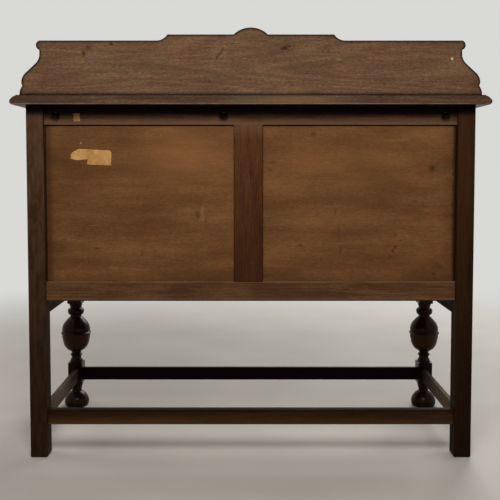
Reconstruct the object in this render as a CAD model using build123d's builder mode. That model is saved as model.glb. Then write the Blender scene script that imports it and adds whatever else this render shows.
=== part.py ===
from build123d import *
import math
import os

# Oak sideboard on two turned front legs and two square rear legs.
# +Z is up, the front faces -Y, and left and right are those of someone who faces the front.
# The origin is on the floor, in the middle of the top board's footprint. Lengths are in millimetres.

# Overall sizes and the square timber
top_length = 1226
top_depth = 510
top_height = 946
top_thickness = 24
end_overhang = 35
back_overhang = 22
front_overhang = 32
leg_side = 44
case_foot = 368
glue_play = 0.5
arris = 1.2

# Edge moulding of the top board
nose_run = 14
nose_drop = 12
nose_bulge = 1.4
nose_quirk = 2
undercut_height = 5
undercut_depth = 4

# Upstand that stands along the back of the top
upstand_thickness = 22
upstand_setback = 2
upstand_foot_half = 587.5
upstand_shoulder_half = 535.5
upstand_shoulder_height = 136.8
raised_half = 211
raised_height = 152
step_run = 27
step_mid_run = 11
step_mid_drop = 10.5
crest_half = 43.5
crest_rise = 17.5
horn_reach = 8.5
horn_height = 23.4
horn_drop = 11
neck_height = 103
ogee_upper_drop = 24
ogee_middle_run = 26
ogee_middle_drop = 24
ogee_lower_drop = 24
ogee_return = 2.5
foot_bead_height = 22.5
foot_bead_bulge = 2.2
upstand_bead = 11
upstand_bead_half = 564

# Turned front legs: heights of the square blocks, and the largest radii between them
head_block_drop = 38
foot_block_foot = 75
foot_block_height = 67
shoulder_height = 10
bulb_radius = 46.5
bun_radius = 38.4
# Rows of shares of (radius, height): one pair ends a straight cut, two pairs pass and end a curve
bulb_shares = [
    (0.42, 0.0),
    (0.40, 0.035, 0.33, 0.062),
    (0.32, 0.085),
    (0.345, 0.10, 0.32, 0.115),
    (0.40, 0.115, 0.405, 0.13),
    (0.34, 0.145, 0.31, 0.16),
    (0.36, 0.185),
    (0.72, 0.255, 0.89, 0.375),
    (0.94, 0.425, 0.95, 0.475),
    (1.0, 0.487, 1.0, 0.505),
    (0.94, 0.518),
    (0.92, 0.60, 0.74, 0.685),
    (0.53, 0.742, 0.385, 0.775),
    (0.375, 0.80),
    (0.51, 0.825, 0.54, 0.857),
    (0.54, 0.888, 0.44, 0.915),
    (0.39, 0.925, 0.385, 0.94),
    (0.415, 0.96, 0.45, 1.0),
]
bun_shares = [
    (0.90, 0.0),
    (1.0, 0.205, 0.90, 0.38),
    (0.66, 0.545, 0.42, 0.625),
    (0.40, 0.69, 0.42, 0.75),
    (0.47, 0.86, 0.56, 1.0),
]

# Stretchers between the legs
stretcher_rise = 10
stretcher_height = 39
stretcher_thickness = 22
stretcher_round = 2.5
mould_run = 10
mould_drop = 14
mould_quirk = 2
mould_bulge = 1.6
leg_foot_chamfer = 3

# Frame and panel work of the back
back_recess = 12
back_rail_thickness = 20
back_top_rail_height = 49.5
back_bottom_rail_drop = 1
back_bottom_rail_height = 51
back_rail_round = 4
muntin_width = 76
muntin_offset = 6
panel_thickness = 6
back_panel_recess = 5
groove_depth = 8
tenon_length = 15
tenon_thickness = 10
tenon_shoulder = 6

# Frame and panel work of the two ends
end_recess = 10
end_rail_thickness = 20
end_top_rail_height = 60
end_bottom_rail_height = 69
end_panel_thickness = 8
end_panel_recess = 6

# Rails and posts of the front
front_rail_thickness = 22
front_top_rail_height = 22
front_middle_rail_height = 22
front_bottom_rail_height = 53
drawer_opening_height = 126
post_width = 50
post_tenon_length = 8

# Boards inside the case
floor_thickness = 14
floor_rise = 7
partition_thickness = 16
runner_width = 22
runner_height = 16
guide_height = 22
kicker_width = 22
shelf_rise = 157
shelf_thickness = 12
shelf_setback = 16
bearer_height = 18
bearer_width = 14

# Drawers
front_gap = 1.5
running_gap = 0.3
drawer_front_thickness = 20
drawer_side_thickness = 12
drawer_side_drop = 16
drawer_back_setback = 12
drawer_bottom_thickness = 5
drawer_bottom_rise = 8
drawer_groove = 6
drawer_stop_depth = 12
tail_count = 3
tail_length = 13
tail_root_share = 0.5
tail_slope_share = 0.14

# Doors
stile_width = 62
door_panel_thickness = 9
door_panel_recess = 7
door_groove = 8

# Mitred mouldings applied to the drawers and doors
moulding_width = 14
moulding_height = 6
moulding_bead = 5
drawer_moulding_margin = 14
drawer_moulding_gap = 86
door_moulding_inset = 58

# Hinges
hinge_length = 50
leaf_width = 19
leaf_thickness = 1.2
knuckle_radius = 3.2
knuckle_count = 5
knuckle_gap = 0.2
hinge_pin_radius = 1.6
pin_play = 0.05
hinge_proud = 0.3
hinge_end = 38
pin_cap_height = 2

# Pear drop handles
plate_lobe_radius = 14
plate_tip_radius = 8
plate_tip_offset = 17
plate_thickness = 2
boss_radius = 8
boss_height = 3
boss_taper = 25
ear_thickness = 1.6
ear_radius = 3.6
ear_gap = 0.3
pull_axis_height = 12
pull_pin_radius = 1.2
eye_radius = 3.2
eye_thickness = 3
pear_length = 46
pear_radius = 7
pear_shares = [
    (0.26, 0.05),
    (0.20, 0.20, 0.24, 0.36),
    (0.50, 0.40, 0.24, 0.44),
    (0.34, 0.54, 0.70, 0.66),
    (1.00, 0.80, 0.60, 0.93),
    (0.30, 0.955),
    (0.40, 0.975, 0.22, 1.0),
    (0.0, 1.0),
]
door_pull_inset = 30
pull_drop = 14

# Ball catches in the post between the doors
catch_radius = 4
catch_length = 16
catch_setback = 10
catch_rise = 177.5
ball_radius = 2.6
ball_shank = 8
ball_gap = 0.3
catch_base = 2

# Screws that hold the top and the upstand
screw_radius = 2.2
screw_play = 0.1
screw_head_radius = 4.4
screw_head_height = 2.6
screw_length = 34
screw_tip_gap = 3
screw_end_inset = 29
screw_centre_offset = 70
pocket_radius = 11.5
pocket_height = 23
pocket_drop = 17
upstand_screw_length = 46
upstand_screw_pitch = 240
upstand_screw_count = 5

# Places that follow from the sizes above
top_foot = top_height - top_thickness
head_block_foot = case_foot - head_block_drop
foot_block_head = foot_block_foot + foot_block_height
stretcher_foot = foot_block_foot + stretcher_rise
stretcher_head = stretcher_foot + stretcher_height
half_length = top_length / 2
back_edge = top_depth / 2
front_edge = -back_edge
leg_outer = half_length - end_overhang
leg_inner = leg_outer - leg_side
leg_middle = leg_outer - leg_side / 2
rear_leg_back = back_edge - back_overhang
rear_leg_front = rear_leg_back - leg_side
rear_leg_middle = rear_leg_back - leg_side / 2
front_face = front_edge + front_overhang
front_leg_back = front_face + leg_side
front_leg_middle = front_face + leg_side / 2

front_rail_back = front_face + front_rail_thickness
front_rail_middle = (front_face + front_rail_back) / 2
front_top_rail_foot = top_foot - front_top_rail_height
front_middle_rail_head = front_top_rail_foot - drawer_opening_height
front_middle_rail_foot = front_middle_rail_head - front_middle_rail_height
front_bottom_rail_head = case_foot + front_bottom_rail_height
floor_head = front_bottom_rail_head + floor_rise
floor_foot = floor_head - floor_thickness
post_half = post_width / 2

back_rail_outer = rear_leg_back - back_recess
back_rail_inner = back_rail_outer - back_rail_thickness
back_rail_middle = (back_rail_outer + back_rail_inner) / 2
back_top_rail_foot = top_foot - back_top_rail_height
back_bottom_rail_foot = floor_foot - back_bottom_rail_drop
back_bottom_rail_head = back_bottom_rail_foot + back_bottom_rail_height
back_panel_outer = back_rail_outer - back_panel_recess
back_panel_inner = back_panel_outer - panel_thickness

end_rail_outer = leg_outer - end_recess
end_rail_inner = end_rail_outer - end_rail_thickness
end_rail_middle = (end_rail_outer + end_rail_inner) / 2
end_top_rail_foot = top_foot - end_top_rail_height
end_bottom_rail_head = case_foot + end_bottom_rail_height
end_panel_outer = end_rail_outer - end_panel_recess
end_panel_inner = end_panel_outer - end_panel_thickness

partition_half = partition_thickness / 2
runner_foot = front_middle_rail_head - runner_height
guide_head = front_middle_rail_head + guide_height
shelf_head = floor_head + shelf_rise
shelf_foot = shelf_head - shelf_thickness

leaf_inner = post_half + front_gap
leaf_outer = leg_inner - front_gap
door_foot = front_bottom_rail_head + front_gap
door_head = front_middle_rail_foot - front_gap
door_back = front_rail_back - running_gap
drawer_front_foot = front_middle_rail_head + front_gap
drawer_front_head = front_top_rail_foot - front_gap
drawer_front_back = front_face + drawer_front_thickness
drawer_foot = front_middle_rail_head + running_gap
drawer_side_height = drawer_opening_height - drawer_side_drop
drawer_side_head = drawer_foot + drawer_side_height
drawer_end = back_rail_inner - drawer_stop_depth - running_gap
drawer_bottom_foot = drawer_foot + drawer_bottom_rise
drawer_bottom_head = drawer_bottom_foot + drawer_bottom_thickness
drawer_back_rear = drawer_end - drawer_back_setback
drawer_back_front = drawer_back_rear - drawer_side_thickness
leaf_middle = (leaf_inner + leaf_outer) / 2

hinge_x = leg_inner - front_gap / 2
hinge_y = front_face - knuckle_radius - hinge_proud
hinge_feet = [door_foot + hinge_end, door_head - hinge_end - hinge_length]
pull_y = front_face - pull_axis_height
drawer_pull_z = (drawer_front_foot + drawer_front_head) / 2 + pull_drop
door_pull_z = (door_foot + door_head) / 2 + pull_drop
catch_y = front_face + catch_setback
catch_height = door_foot + catch_rise

pocket_head = top_foot - pocket_drop
pocket_foot = pocket_head - pocket_height
back_screw_y = back_rail_outer - pocket_radius / 2
rail_screw_x = [screw_end_inset - leg_inner, screw_centre_offset, leg_inner - screw_end_inset]
end_screw_x = end_rail_inner + pocket_radius / 2
end_screw_y = (front_leg_back + rear_leg_front) / 2
front_screw_seat = front_top_rail_foot + screw_head_height
upstand_back = back_edge - upstand_setback
upstand_front = upstand_back - upstand_thickness
upstand_middle = (upstand_front + upstand_back) / 2
upstand_screw_end = upstand_screw_pitch * (upstand_screw_count - 1) / 2
upstand_screw_x = [upstand_screw_pitch * i - upstand_screw_end for i in range(upstand_screw_count)]
# Each screw into the top: its place and the height of its seat
top_screws = [(x, back_screw_y, pocket_head) for x in rail_screw_x]
top_screws += [(side * end_screw_x, end_screw_y, pocket_head) for side in (-1, 1)]
top_screws += [(side * leaf_middle, front_rail_middle, front_screw_seat) for side in (-1, 1)]

os.makedirs("parts", exist_ok=True)


def keep(piece, name):
    """Label a finished piece and write it to its own file."""
    piece.part.label = name
    export_step(piece.part, f"parts/{name}.step")


def ends(low, high, side=1):
    """The two ends of a span, in rising order, mirrored to the left when side is -1."""
    return sorted((side * low, side * high))


def block(x, y, z, mode=Mode.ADD):
    """A squared board between its two ends along each axis."""
    with Locations((x[0], y[0], z[0])):
        Box(x[1] - x[0], y[1] - y[0], z[1] - z[0], align=(Align.MIN, Align.MIN, Align.MIN), mode=mode)


def rod(radius, length, mode=Mode.ADD):
    """A round bar that grows from its place along its own axis."""
    Cylinder(radius, length, align=(Align.CENTER, Align.CENTER, Align.MIN), mode=mode)


def x_tenon(side, foot, head, middle, mode=Mode.ADD):
    """The tenon at one end of a rail that runs along X, or its mortise in the leg."""
    cheeks = (middle - tenon_thickness / 2, middle + tenon_thickness / 2)
    block(ends(leg_inner, leg_inner + tenon_length, side), cheeks, (foot, head), mode)


def y_tenon(shoulder, towards, side, foot, head, middle, mode=Mode.ADD):
    """The tenon at one end of a rail that runs along Y, or its mortise in the leg."""
    cheeks = ends(middle - tenon_thickness / 2, middle + tenon_thickness / 2, side)
    block(cheeks, sorted((shoulder, shoulder + towards * tenon_length)), (foot, head), mode)


def tenon_span(foot, head):
    """A tenon's height, inside the shoulders at its top and bottom."""
    return foot + tenon_shoulder, head - tenon_shoulder


# Every rail along X by the legs that it joins, and every rail along Y: foot, head and middle line
back_members = [
    (back_top_rail_foot, top_foot, back_rail_middle),
    (back_bottom_rail_foot, back_bottom_rail_head, back_rail_middle),
    (stretcher_foot, stretcher_head, rear_leg_middle),
]
front_members = [
    (front_top_rail_foot, top_foot, front_rail_middle),
    (front_middle_rail_foot, front_middle_rail_head, front_rail_middle),
    (case_foot, front_bottom_rail_head, front_rail_middle),
    (stretcher_foot, stretcher_head, front_leg_middle),
]
end_members = [
    (end_top_rail_foot, top_foot, end_rail_middle),
    (case_foot, end_bottom_rail_head, end_rail_middle),
    (stretcher_foot, stretcher_head, leg_middle),
]


def mortises(side, members, shoulder, towards):
    """Cut a leg's mortises for its rails and the groove for the end panel."""
    for foot, head, middle in members:
        x_tenon(side, *tenon_span(foot, head), middle, Mode.SUBTRACT)
    for foot, head, middle in end_members:
        y_tenon(shoulder, towards, side, *tenon_span(foot, head), middle, Mode.SUBTRACT)
    block(
        ends(end_panel_inner, end_panel_outer, side),
        sorted((shoulder, shoulder + towards * groove_depth)),
        (end_bottom_rail_head - groove_depth, end_top_rail_foot + groove_depth),
        Mode.SUBTRACT,
    )


def outline(start, rows, width, foot, height):
    """Draw a turned outline upwards from its start, by rows of shares of its width and height."""
    here = start
    for row in rows:
        points = [(r * width, foot + h * height) for r, h in zip(row[::2], row[1::2])]
        if len(points) == 1:
            Line(here, points[0])
        else:
            ThreePointArc(here, *points)
        here = points[-1]
    return here


def lathe_plane(x, y):
    """The upright plane through a leg's centre line, with its first axis along +X."""
    return Plane(origin=(x, y, 0), x_dir=(1, 0, 0), z_dir=(0, -1, 0))


def front_leg(side, name):
    """A square leg turned to a cup and cover bulb between its blocks, on a bun foot."""
    x, y = side * leg_middle, front_leg_middle
    half = leg_side / 2
    corner = leg_side
    spindle = Axis((x, y, 0), (0, 0, 1))
    bulb_height = head_block_foot - foot_block_head
    with BuildPart() as leg:
        with BuildSketch(Plane(origin=(x, y, foot_block_foot))):
            Rectangle(leg_side, leg_side)
        extrude(amount=top_foot - foot_block_foot)
        # The lathe rounds the square's corners over at each end of a block
        with BuildSketch(lathe_plane(x, y)):
            with BuildLine():
                low = (half, foot_block_foot)
                low_corner = (corner, foot_block_foot + shoulder_height)
                high = (half, foot_block_head)
                high_corner = (corner, foot_block_head - shoulder_height)
                Line((0, foot_block_foot), low)
                TangentArc(low, low_corner, tangent=(1, 0))
                Line(low_corner, high_corner)
                TangentArc(high, high_corner, tangent=(1, 0))
                Line(high, (0, foot_block_head))
                Line((0, foot_block_head), (0, foot_block_foot))
            make_face()
            with BuildLine():
                low = (half, head_block_foot)
                low_corner = (corner, head_block_foot + shoulder_height)
                Line((0, head_block_foot), low)
                TangentArc(low, low_corner, tangent=(1, 0))
                Line(low_corner, (corner, top_foot))
                Line((corner, top_foot), (0, top_foot))
                Line((0, top_foot), (0, head_block_foot))
            make_face()
        revolve(axis=spindle, mode=Mode.INTERSECT)
        with BuildSketch(lathe_plane(x, y)):
            with BuildLine():
                first = (bulb_shares[0][0] * bulb_radius, foot_block_head)
                Line((0, foot_block_head), first)
                tip = outline(first, bulb_shares[1:], bulb_radius, foot_block_head, bulb_height)
                Line(tip, (0, head_block_foot))
                Line((0, head_block_foot), (0, foot_block_head))
            make_face()
            with BuildLine():
                first = (bun_shares[0][0] * bun_radius, 0)
                Line((0, 0), first)
                tip = outline(first, bun_shares[1:], bun_radius, 0, foot_block_foot)
                Line(tip, (0, foot_block_foot))
                Line((0, foot_block_foot), (0, 0))
            make_face()
        revolve(axis=spindle)
        mortises(side, front_members, front_leg_back, -1)
        for foot in hinge_feet:
            block(
                ends(leg_inner, leg_inner + leaf_thickness, side),
                (front_face, front_face + leaf_width),
                (foot, foot + hinge_length),
                Mode.SUBTRACT,
            )
    keep(leg, name)


def rear_leg(side, name):
    """A plain square leg, the stile of the back frame."""
    x = ends(leg_inner, leg_outer, side)
    with BuildPart() as leg:
        block(x, (rear_leg_front, rear_leg_back), (0, top_foot))
        chamfer(leg.faces().sort_by(Axis.Z)[0].edges(), leg_foot_chamfer)
        fillet(leg.edges().filter_by(Axis.Z), arris)
        mortises(side, back_members, rear_leg_front, 1)
        block(
            ends(leg_inner, leg_inner + groove_depth, side),
            (back_panel_inner, back_panel_outer),
            (back_bottom_rail_head - groove_depth, back_top_rail_foot + groove_depth),
            Mode.SUBTRACT,
        )
    keep(leg, name)


def x_rail(foot, head, faces):
    """A rail along X between the legs, with a tenon at each end."""
    block((-leg_inner, leg_inner), faces, (foot, head))
    for side in (-1, 1):
        x_tenon(side, *tenon_span(foot, head), sum(faces) / 2)


def y_rail(side, foot, head, faces):
    """A rail along Y between a front and a rear leg, with a tenon at each end."""
    block(ends(*faces, side), (front_leg_back, rear_leg_front), (foot, head))
    y_tenon(front_leg_back, -1, side, *tenon_span(foot, head), sum(faces) / 2)
    y_tenon(rear_leg_front, 1, side, *tenon_span(foot, head), sum(faces) / 2)


def outer_mould(middle, across, along, reach):
    """Mould a stretcher's outer upper edge, from the middle of its length both ways."""
    half = stretcher_thickness / 2
    quirk = (half - mould_run, stretcher_head - mould_quirk)
    toe = (half, stretcher_head - mould_drop)
    with BuildSketch(Plane(origin=middle, x_dir=across, z_dir=along)) as waste:
        with BuildLine():
            Line((quirk[0], stretcher_head), quirk)
            SagittaArc(quirk, toe, mould_bulge)
            Line(toe, (half, stretcher_head))
            Line((half, stretcher_head), (quirk[0], stretcher_head))
        make_face()
    extrude(waste.sketch, amount=reach, both=True, mode=Mode.SUBTRACT)


def stretchers():
    """Four stretchers: the rear one is plain, and the other three are moulded where they are seen."""
    half = stretcher_thickness / 2
    with BuildPart() as stretcher:
        x_rail(stretcher_foot, stretcher_head, (rear_leg_middle - half, rear_leg_middle + half))
        fillet(stretcher.edges().filter_by(Axis.X).group_by(Axis.Z)[-1], stretcher_round)
    keep(stretcher, "rear_stretcher")
    with BuildPart() as stretcher:
        x_rail(stretcher_foot, stretcher_head, (front_leg_middle - half, front_leg_middle + half))
        upper = stretcher.edges().filter_by(Axis.X).group_by(Axis.Z)[-1]
        fillet(upper.sort_by(Axis.Y)[-1], stretcher_round)
        outer_mould((0, front_leg_middle, 0), (0, -1, 0), (-1, 0, 0), leg_inner)
    keep(stretcher, "front_stretcher")
    for name, side in (("side_stretcher_left", -1), ("side_stretcher_right", 1)):
        with BuildPart() as stretcher:
            y_rail(side, stretcher_foot, stretcher_head, (leg_middle - half, leg_middle + half))
            upper = stretcher.edges().filter_by(Axis.Y).group_by(Axis.Z)[-1]
            fillet(upper.sort_by(lambda edge: side * edge.center().X)[0], stretcher_round)
            middle = (side * leg_middle, (front_leg_back + rear_leg_front) / 2, 0)
            outer_mould(middle, (side, 0, 0), (0, -side, 0), (rear_leg_front - front_leg_back) / 2)
        keep(stretcher, name)


def screw_hole(x, y, head, tip):
    """The hole for one upright screw."""
    with Locations((x, y, head)):
        rod(screw_radius + screw_play, tip - head, Mode.SUBTRACT)


def pocket(x, y, screw_x, screw_y):
    """A gouged pocket in a rail's face, round at its foot, with the screw's hole above it."""
    with Locations((x, y, pocket_foot + pocket_radius)):
        Sphere(pocket_radius, mode=Mode.SUBTRACT)
        rod(pocket_radius, pocket_height - pocket_radius, Mode.SUBTRACT)
    screw_hole(screw_x, screw_y, pocket_head, top_foot)


def back_frame():
    """The rails and the muntin of the back."""
    faces = (back_rail_inner, back_rail_outer)
    groove = (back_panel_inner, back_panel_outer)
    panel_run = (-leg_inner - groove_depth, leg_inner + groove_depth)
    with BuildPart() as rail:
        x_rail(back_top_rail_foot, top_foot, faces)
        block(panel_run, groove, (back_top_rail_foot, back_top_rail_foot + groove_depth), Mode.SUBTRACT)
        for x in rail_screw_x:
            pocket(x, back_rail_outer, x, back_screw_y)
    keep(rail, "back_top_rail")
    with BuildPart() as rail:
        x_rail(back_bottom_rail_foot, back_bottom_rail_head, faces)
        groove_foot = back_bottom_rail_head - groove_depth
        block(panel_run, groove, (groove_foot, back_bottom_rail_head), Mode.SUBTRACT)
        lip = rail.faces().sort_by(Axis.Y)[-1].edges().filter_by(Axis.X).sort_by(Axis.Z)[-1]
        fillet(lip, back_rail_round)
    keep(rail, "back_bottom_rail")
    low, high = muntin_offset - muntin_width / 2, muntin_offset + muntin_width / 2
    far = leg_inner + groove_depth - glue_play
    tongues = (back_bottom_rail_head - groove_depth, back_top_rail_foot + groove_depth)
    with BuildPart() as muntin:
        block((low, high), faces, (back_bottom_rail_head, back_top_rail_foot))
        block((low, high), groove, tongues)
        block((low, low + groove_depth), groove, tongues, Mode.SUBTRACT)
        block((high - groove_depth, high), groove, tongues, Mode.SUBTRACT)
    keep(muntin, "back_muntin")
    left = (-far, low + groove_depth - glue_play)
    right = (high - groove_depth + glue_play, far)
    for name, x in (("back_panel_left", left), ("back_panel_right", right)):
        with BuildPart() as panel:
            block(x, groove, (tongues[0] + glue_play, tongues[1] - glue_play))
        keep(panel, name)


def end_frame(side, suffix):
    """The two rails and the panel of one end."""
    faces = (end_rail_inner, end_rail_outer)
    groove = ends(end_panel_inner, end_panel_outer, side)
    run = (front_leg_back - groove_depth, rear_leg_front + groove_depth)
    with BuildPart() as rails:
        y_rail(side, end_top_rail_foot, top_foot, faces)
        block(groove, run, (end_top_rail_foot, end_top_rail_foot + groove_depth), Mode.SUBTRACT)
        pocket(side * end_rail_inner, end_screw_y, side * end_screw_x, end_screw_y)
        y_rail(side, case_foot, end_bottom_rail_head, faces)
        block(groove, run, (end_bottom_rail_head - groove_depth, end_bottom_rail_head), Mode.SUBTRACT)
    keep(rails, f"side_rails_{suffix}")
    with BuildPart() as panel:
        block(
            groove,
            (run[0] + glue_play, run[1] - glue_play),
            (end_bottom_rail_head - groove_depth + glue_play, end_top_rail_foot + groove_depth - glue_play),
        )
    keep(panel, f"side_panel_{suffix}")


def post_tenons(mode):
    """The stub tenons of the two posts, or their mortises in the front rails."""
    cheeks = (front_rail_middle - tenon_thickness / 2, front_rail_middle + tenon_thickness / 2)
    inside = (tenon_shoulder - post_half, post_half - tenon_shoulder)
    block(inside, cheeks, (front_bottom_rail_head - post_tenon_length, front_bottom_rail_head), mode)
    block(inside, cheeks, (front_middle_rail_foot, front_middle_rail_foot + post_tenon_length), mode)
    block(inside, cheeks, (front_middle_rail_head - post_tenon_length, front_middle_rail_head), mode)
    block(inside, cheeks, (front_top_rail_foot, front_top_rail_foot + post_tenon_length), mode)


def front_frame():
    """The three rails of the front and the posts between the drawers and between the doors."""
    faces = (front_face, front_rail_back)
    with BuildPart() as rail:
        x_rail(front_top_rail_foot, top_foot, faces)
        post_tenons(Mode.SUBTRACT)
        for side in (-1, 1):
            screw_hole(side * leaf_middle, front_rail_middle, front_top_rail_foot, top_foot)
            with Locations((side * leaf_middle, front_rail_middle, front_top_rail_foot)):
                rod(screw_head_radius, screw_head_height, Mode.SUBTRACT)
    keep(rail, "front_top_rail")
    with BuildPart() as rail:
        x_rail(front_middle_rail_foot, front_middle_rail_head, faces)
        post_tenons(Mode.SUBTRACT)
    keep(rail, "front_middle_rail")
    with BuildPart() as rail:
        x_rail(case_foot, front_bottom_rail_head, faces)
        post_tenons(Mode.SUBTRACT)
    keep(rail, "front_bottom_rail")
    with BuildPart() as posts:
        block((-post_half, post_half), faces, (front_bottom_rail_head, front_middle_rail_foot))
        block((-post_half, post_half), faces, (front_middle_rail_head, front_top_rail_foot))
        post_tenons(Mode.ADD)
        for side in (-1, 1):
            mouth = Plane(origin=(side * post_half, catch_y, catch_height), z_dir=(-side, 0, 0))
            with Locations(mouth):
                rod(catch_radius, catch_length, Mode.SUBTRACT)
    keep(posts, "front_posts")


def top_board():
    """The top, moulded along its front and both ends and square along its back."""
    half, low, high = half_length, top_foot, top_height
    shoulder = half - nose_run - nose_quirk
    nose_start = (shoulder + nose_quirk, high - nose_quirk)
    nose_end = (half, high - nose_quirk - nose_drop)
    nose_foot = low + undercut_height
    front_quirk = front_edge + nose_run + nose_quirk
    with BuildPart() as board:
        with BuildSketch(Plane(origin=(0, back_edge, 0), x_dir=(1, 0, 0), z_dir=(0, -1, 0))):
            with BuildLine():
                Line((0, high), (shoulder, high))
                Line((shoulder, high), (shoulder, high - nose_quirk))
                Line((shoulder, high - nose_quirk), nose_start)
                SagittaArc(nose_start, nose_end, nose_bulge)
                Line(nose_end, (half, nose_foot))
                Line((half, nose_foot), (half - undercut_depth, low))
                Line((half - undercut_depth, low), (0, low))
                mirror(about=Plane.YZ)
            make_face()
        extrude(amount=top_depth)
        with BuildSketch(Plane.YZ.offset(-half)):
            with BuildLine():
                nose_start = (front_quirk - nose_quirk, high - nose_quirk)
                nose_end = (front_edge, high - nose_quirk - nose_drop)
                Line((back_edge, low), (back_edge, high))
                Line((back_edge, high), (front_quirk, high))
                Line((front_quirk, high), (front_quirk, high - nose_quirk))
                Line((front_quirk, high - nose_quirk), nose_start)
                SagittaArc(nose_start, nose_end, -nose_bulge)
                Line(nose_end, (front_edge, nose_foot))
                Line((front_edge, nose_foot), (front_edge + undercut_depth, low))
                Line((front_edge + undercut_depth, low), (back_edge, low))
            make_face()
        extrude(amount=top_length, mode=Mode.INTERSECT)
        fillet(board.edges().filter_by(Axis.X).group_by(Axis.Y)[-1], arris)
        for x, y, seat in top_screws:
            screw_hole(x, y, top_foot, seat + screw_length)
        for x in upstand_screw_x:
            screw_hole(x, upstand_middle, top_foot, top_height)
            with Locations((x, upstand_middle, top_foot)):
                rod(screw_head_radius, screw_head_height, Mode.SUBTRACT)
    keep(board, "top_board")


def upstand():
    """The shaped board behind the top: ogee ends with round horns, a raised middle and a domed crest."""
    base = top_height
    horn_top = (upstand_shoulder_half, base + upstand_shoulder_height)
    horn_mid = (upstand_shoulder_half + horn_reach, base + upstand_shoulder_height - horn_drop)
    horn_foot = (upstand_shoulder_half, base + upstand_shoulder_height - horn_height)
    # The ogee's two arcs turn from upright to the slope of the straight between them
    slope_share = ogee_middle_run / (ogee_middle_drop + math.hypot(ogee_middle_run, ogee_middle_drop))
    neck = (upstand_shoulder_half, base + neck_height)
    cove = (neck[0] + slope_share * ogee_upper_drop, neck[1] - ogee_upper_drop)
    swell = (cove[0] + ogee_middle_run, cove[1] - ogee_middle_drop)
    heel = (swell[0] + slope_share * ogee_lower_drop, swell[1] - ogee_lower_drop)
    bead = (heel[0] - ogee_return, base + foot_bead_height)
    foot = (upstand_foot_half, base)
    bead_mid = ((bead[0] + foot[0]) / 2 + foot_bead_bulge, base + foot_bead_height / 2)
    step_top = (raised_half, base + raised_height)
    step_mid = (raised_half + step_mid_run, step_top[1] - step_mid_drop)
    step_foot = (raised_half + step_run, base + upstand_shoulder_height)
    crest_foot = (crest_half, base + raised_height)
    with BuildPart() as board:
        with BuildSketch(Plane(origin=(0, upstand_back, 0), x_dir=(1, 0, 0), z_dir=(0, -1, 0))):
            with BuildLine():
                Line((0, base), foot)
                ThreePointArc(foot, bead_mid, bead)
                Line(bead, heel)
                TangentArc(heel, swell, tangent=(0, 1))
                Line(swell, cove)
                TangentArc(neck, cove, tangent=(0, -1))
                Line(neck, horn_foot)
                ThreePointArc(horn_foot, horn_mid, horn_top)
                Line(horn_top, step_foot)
                ThreePointArc(step_foot, step_mid, step_top)
                Line(step_top, crest_foot)
                mirror(about=Plane.YZ)
                crown = (0, crest_foot[1] + crest_rise)
                ThreePointArc(crest_foot, crown, (-crest_foot[0], crest_foot[1]))
            make_face()
        extrude(amount=upstand_thickness)
        faces = board.faces().sort_by(Axis.Y)
        outlines = faces[0].edges() + faces[-1].edges()
        fillet(outlines, arris)
        for x in upstand_screw_x:
            screw_hole(x, upstand_middle, base, top_foot + upstand_screw_length)
    keep(board, "upstand")
    with BuildPart() as bead_strip:
        with BuildSketch(Plane.YZ.offset(-upstand_bead_half)):
            with BuildLine():
                toe = (upstand_front - upstand_bead, base)
                crown = (upstand_front, base + upstand_bead)
                Line((upstand_front, base), toe)
                TangentArc(toe, crown, tangent=(1, 0))
                Line(crown, (upstand_front, base))
            make_face()
        extrude(amount=2 * upstand_bead_half)
    keep(bead_strip, "upstand_moulding")


def inside_boards():
    """The floor, the partition between the cupboards, the shelves and what carries them."""
    depth = (front_rail_back, back_rail_inner)
    with BuildPart() as floor:
        block((-end_rail_inner, end_rail_inner), depth, (floor_foot, floor_head))
        for side in (-1, 1):
            corner = ends(leg_inner, leg_outer, side)
            block(corner, (front_face, front_leg_back), (floor_foot, floor_head), Mode.SUBTRACT)
            block(corner, (rear_leg_front, rear_leg_back), (floor_foot, floor_head), Mode.SUBTRACT)
    keep(floor, "cupboard_floor")
    with BuildPart() as partition:
        block((-partition_half, partition_half), depth, (floor_head, runner_foot))
    keep(partition, "centre_partition")
    with BuildPart() as shelves:
        for side in (-1, 1):
            block(
                ends(partition_half + glue_play, leg_inner - glue_play, side),
                (front_rail_back + shelf_setback, back_rail_inner - glue_play),
                (shelf_foot, shelf_head),
            )
    keep(shelves, "shelves")
    bearer_run = (front_rail_back + shelf_setback, back_rail_inner)
    with BuildPart() as bearers:
        for side in (-1, 1):
            for near in (partition_half, leg_inner - bearer_width):
                width = ends(near, near + bearer_width, side)
                block(width, bearer_run, (shelf_foot - bearer_height, shelf_foot))
    keep(bearers, "shelf_bearers")


def drawer_runs():
    """Runners with their guides and end stops below the drawers, and kickers above them."""
    run = (front_rail_back, back_rail_inner)
    with BuildPart() as runs:
        for side in (-1, 1):
            runner = ends(leg_inner - runner_width, leg_inner, side)
            guide = ends(leg_inner, end_rail_inner, side)
            block(runner, run, (runner_foot, front_middle_rail_head))
            block(guide, (front_leg_back, rear_leg_front), (runner_foot, guide_head))
            block(
                ends(leg_inner - runner_width, leg_inner - glue_play, side),
                (back_rail_inner - drawer_stop_depth, back_rail_inner),
                (front_middle_rail_head, guide_head),
            )
            block(ends(leg_inner - kicker_width, leg_inner, side), run, (front_top_rail_foot, top_foot))
        wide = post_half + kicker_width
        block((-wide, wide), run, (runner_foot, front_middle_rail_head))
        block((-post_half, post_half), run, (front_middle_rail_head, guide_head))
        block((-wide, wide), run, (front_top_rail_foot, top_foot))
    keep(runs, "drawer_runners_and_kickers")


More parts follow.
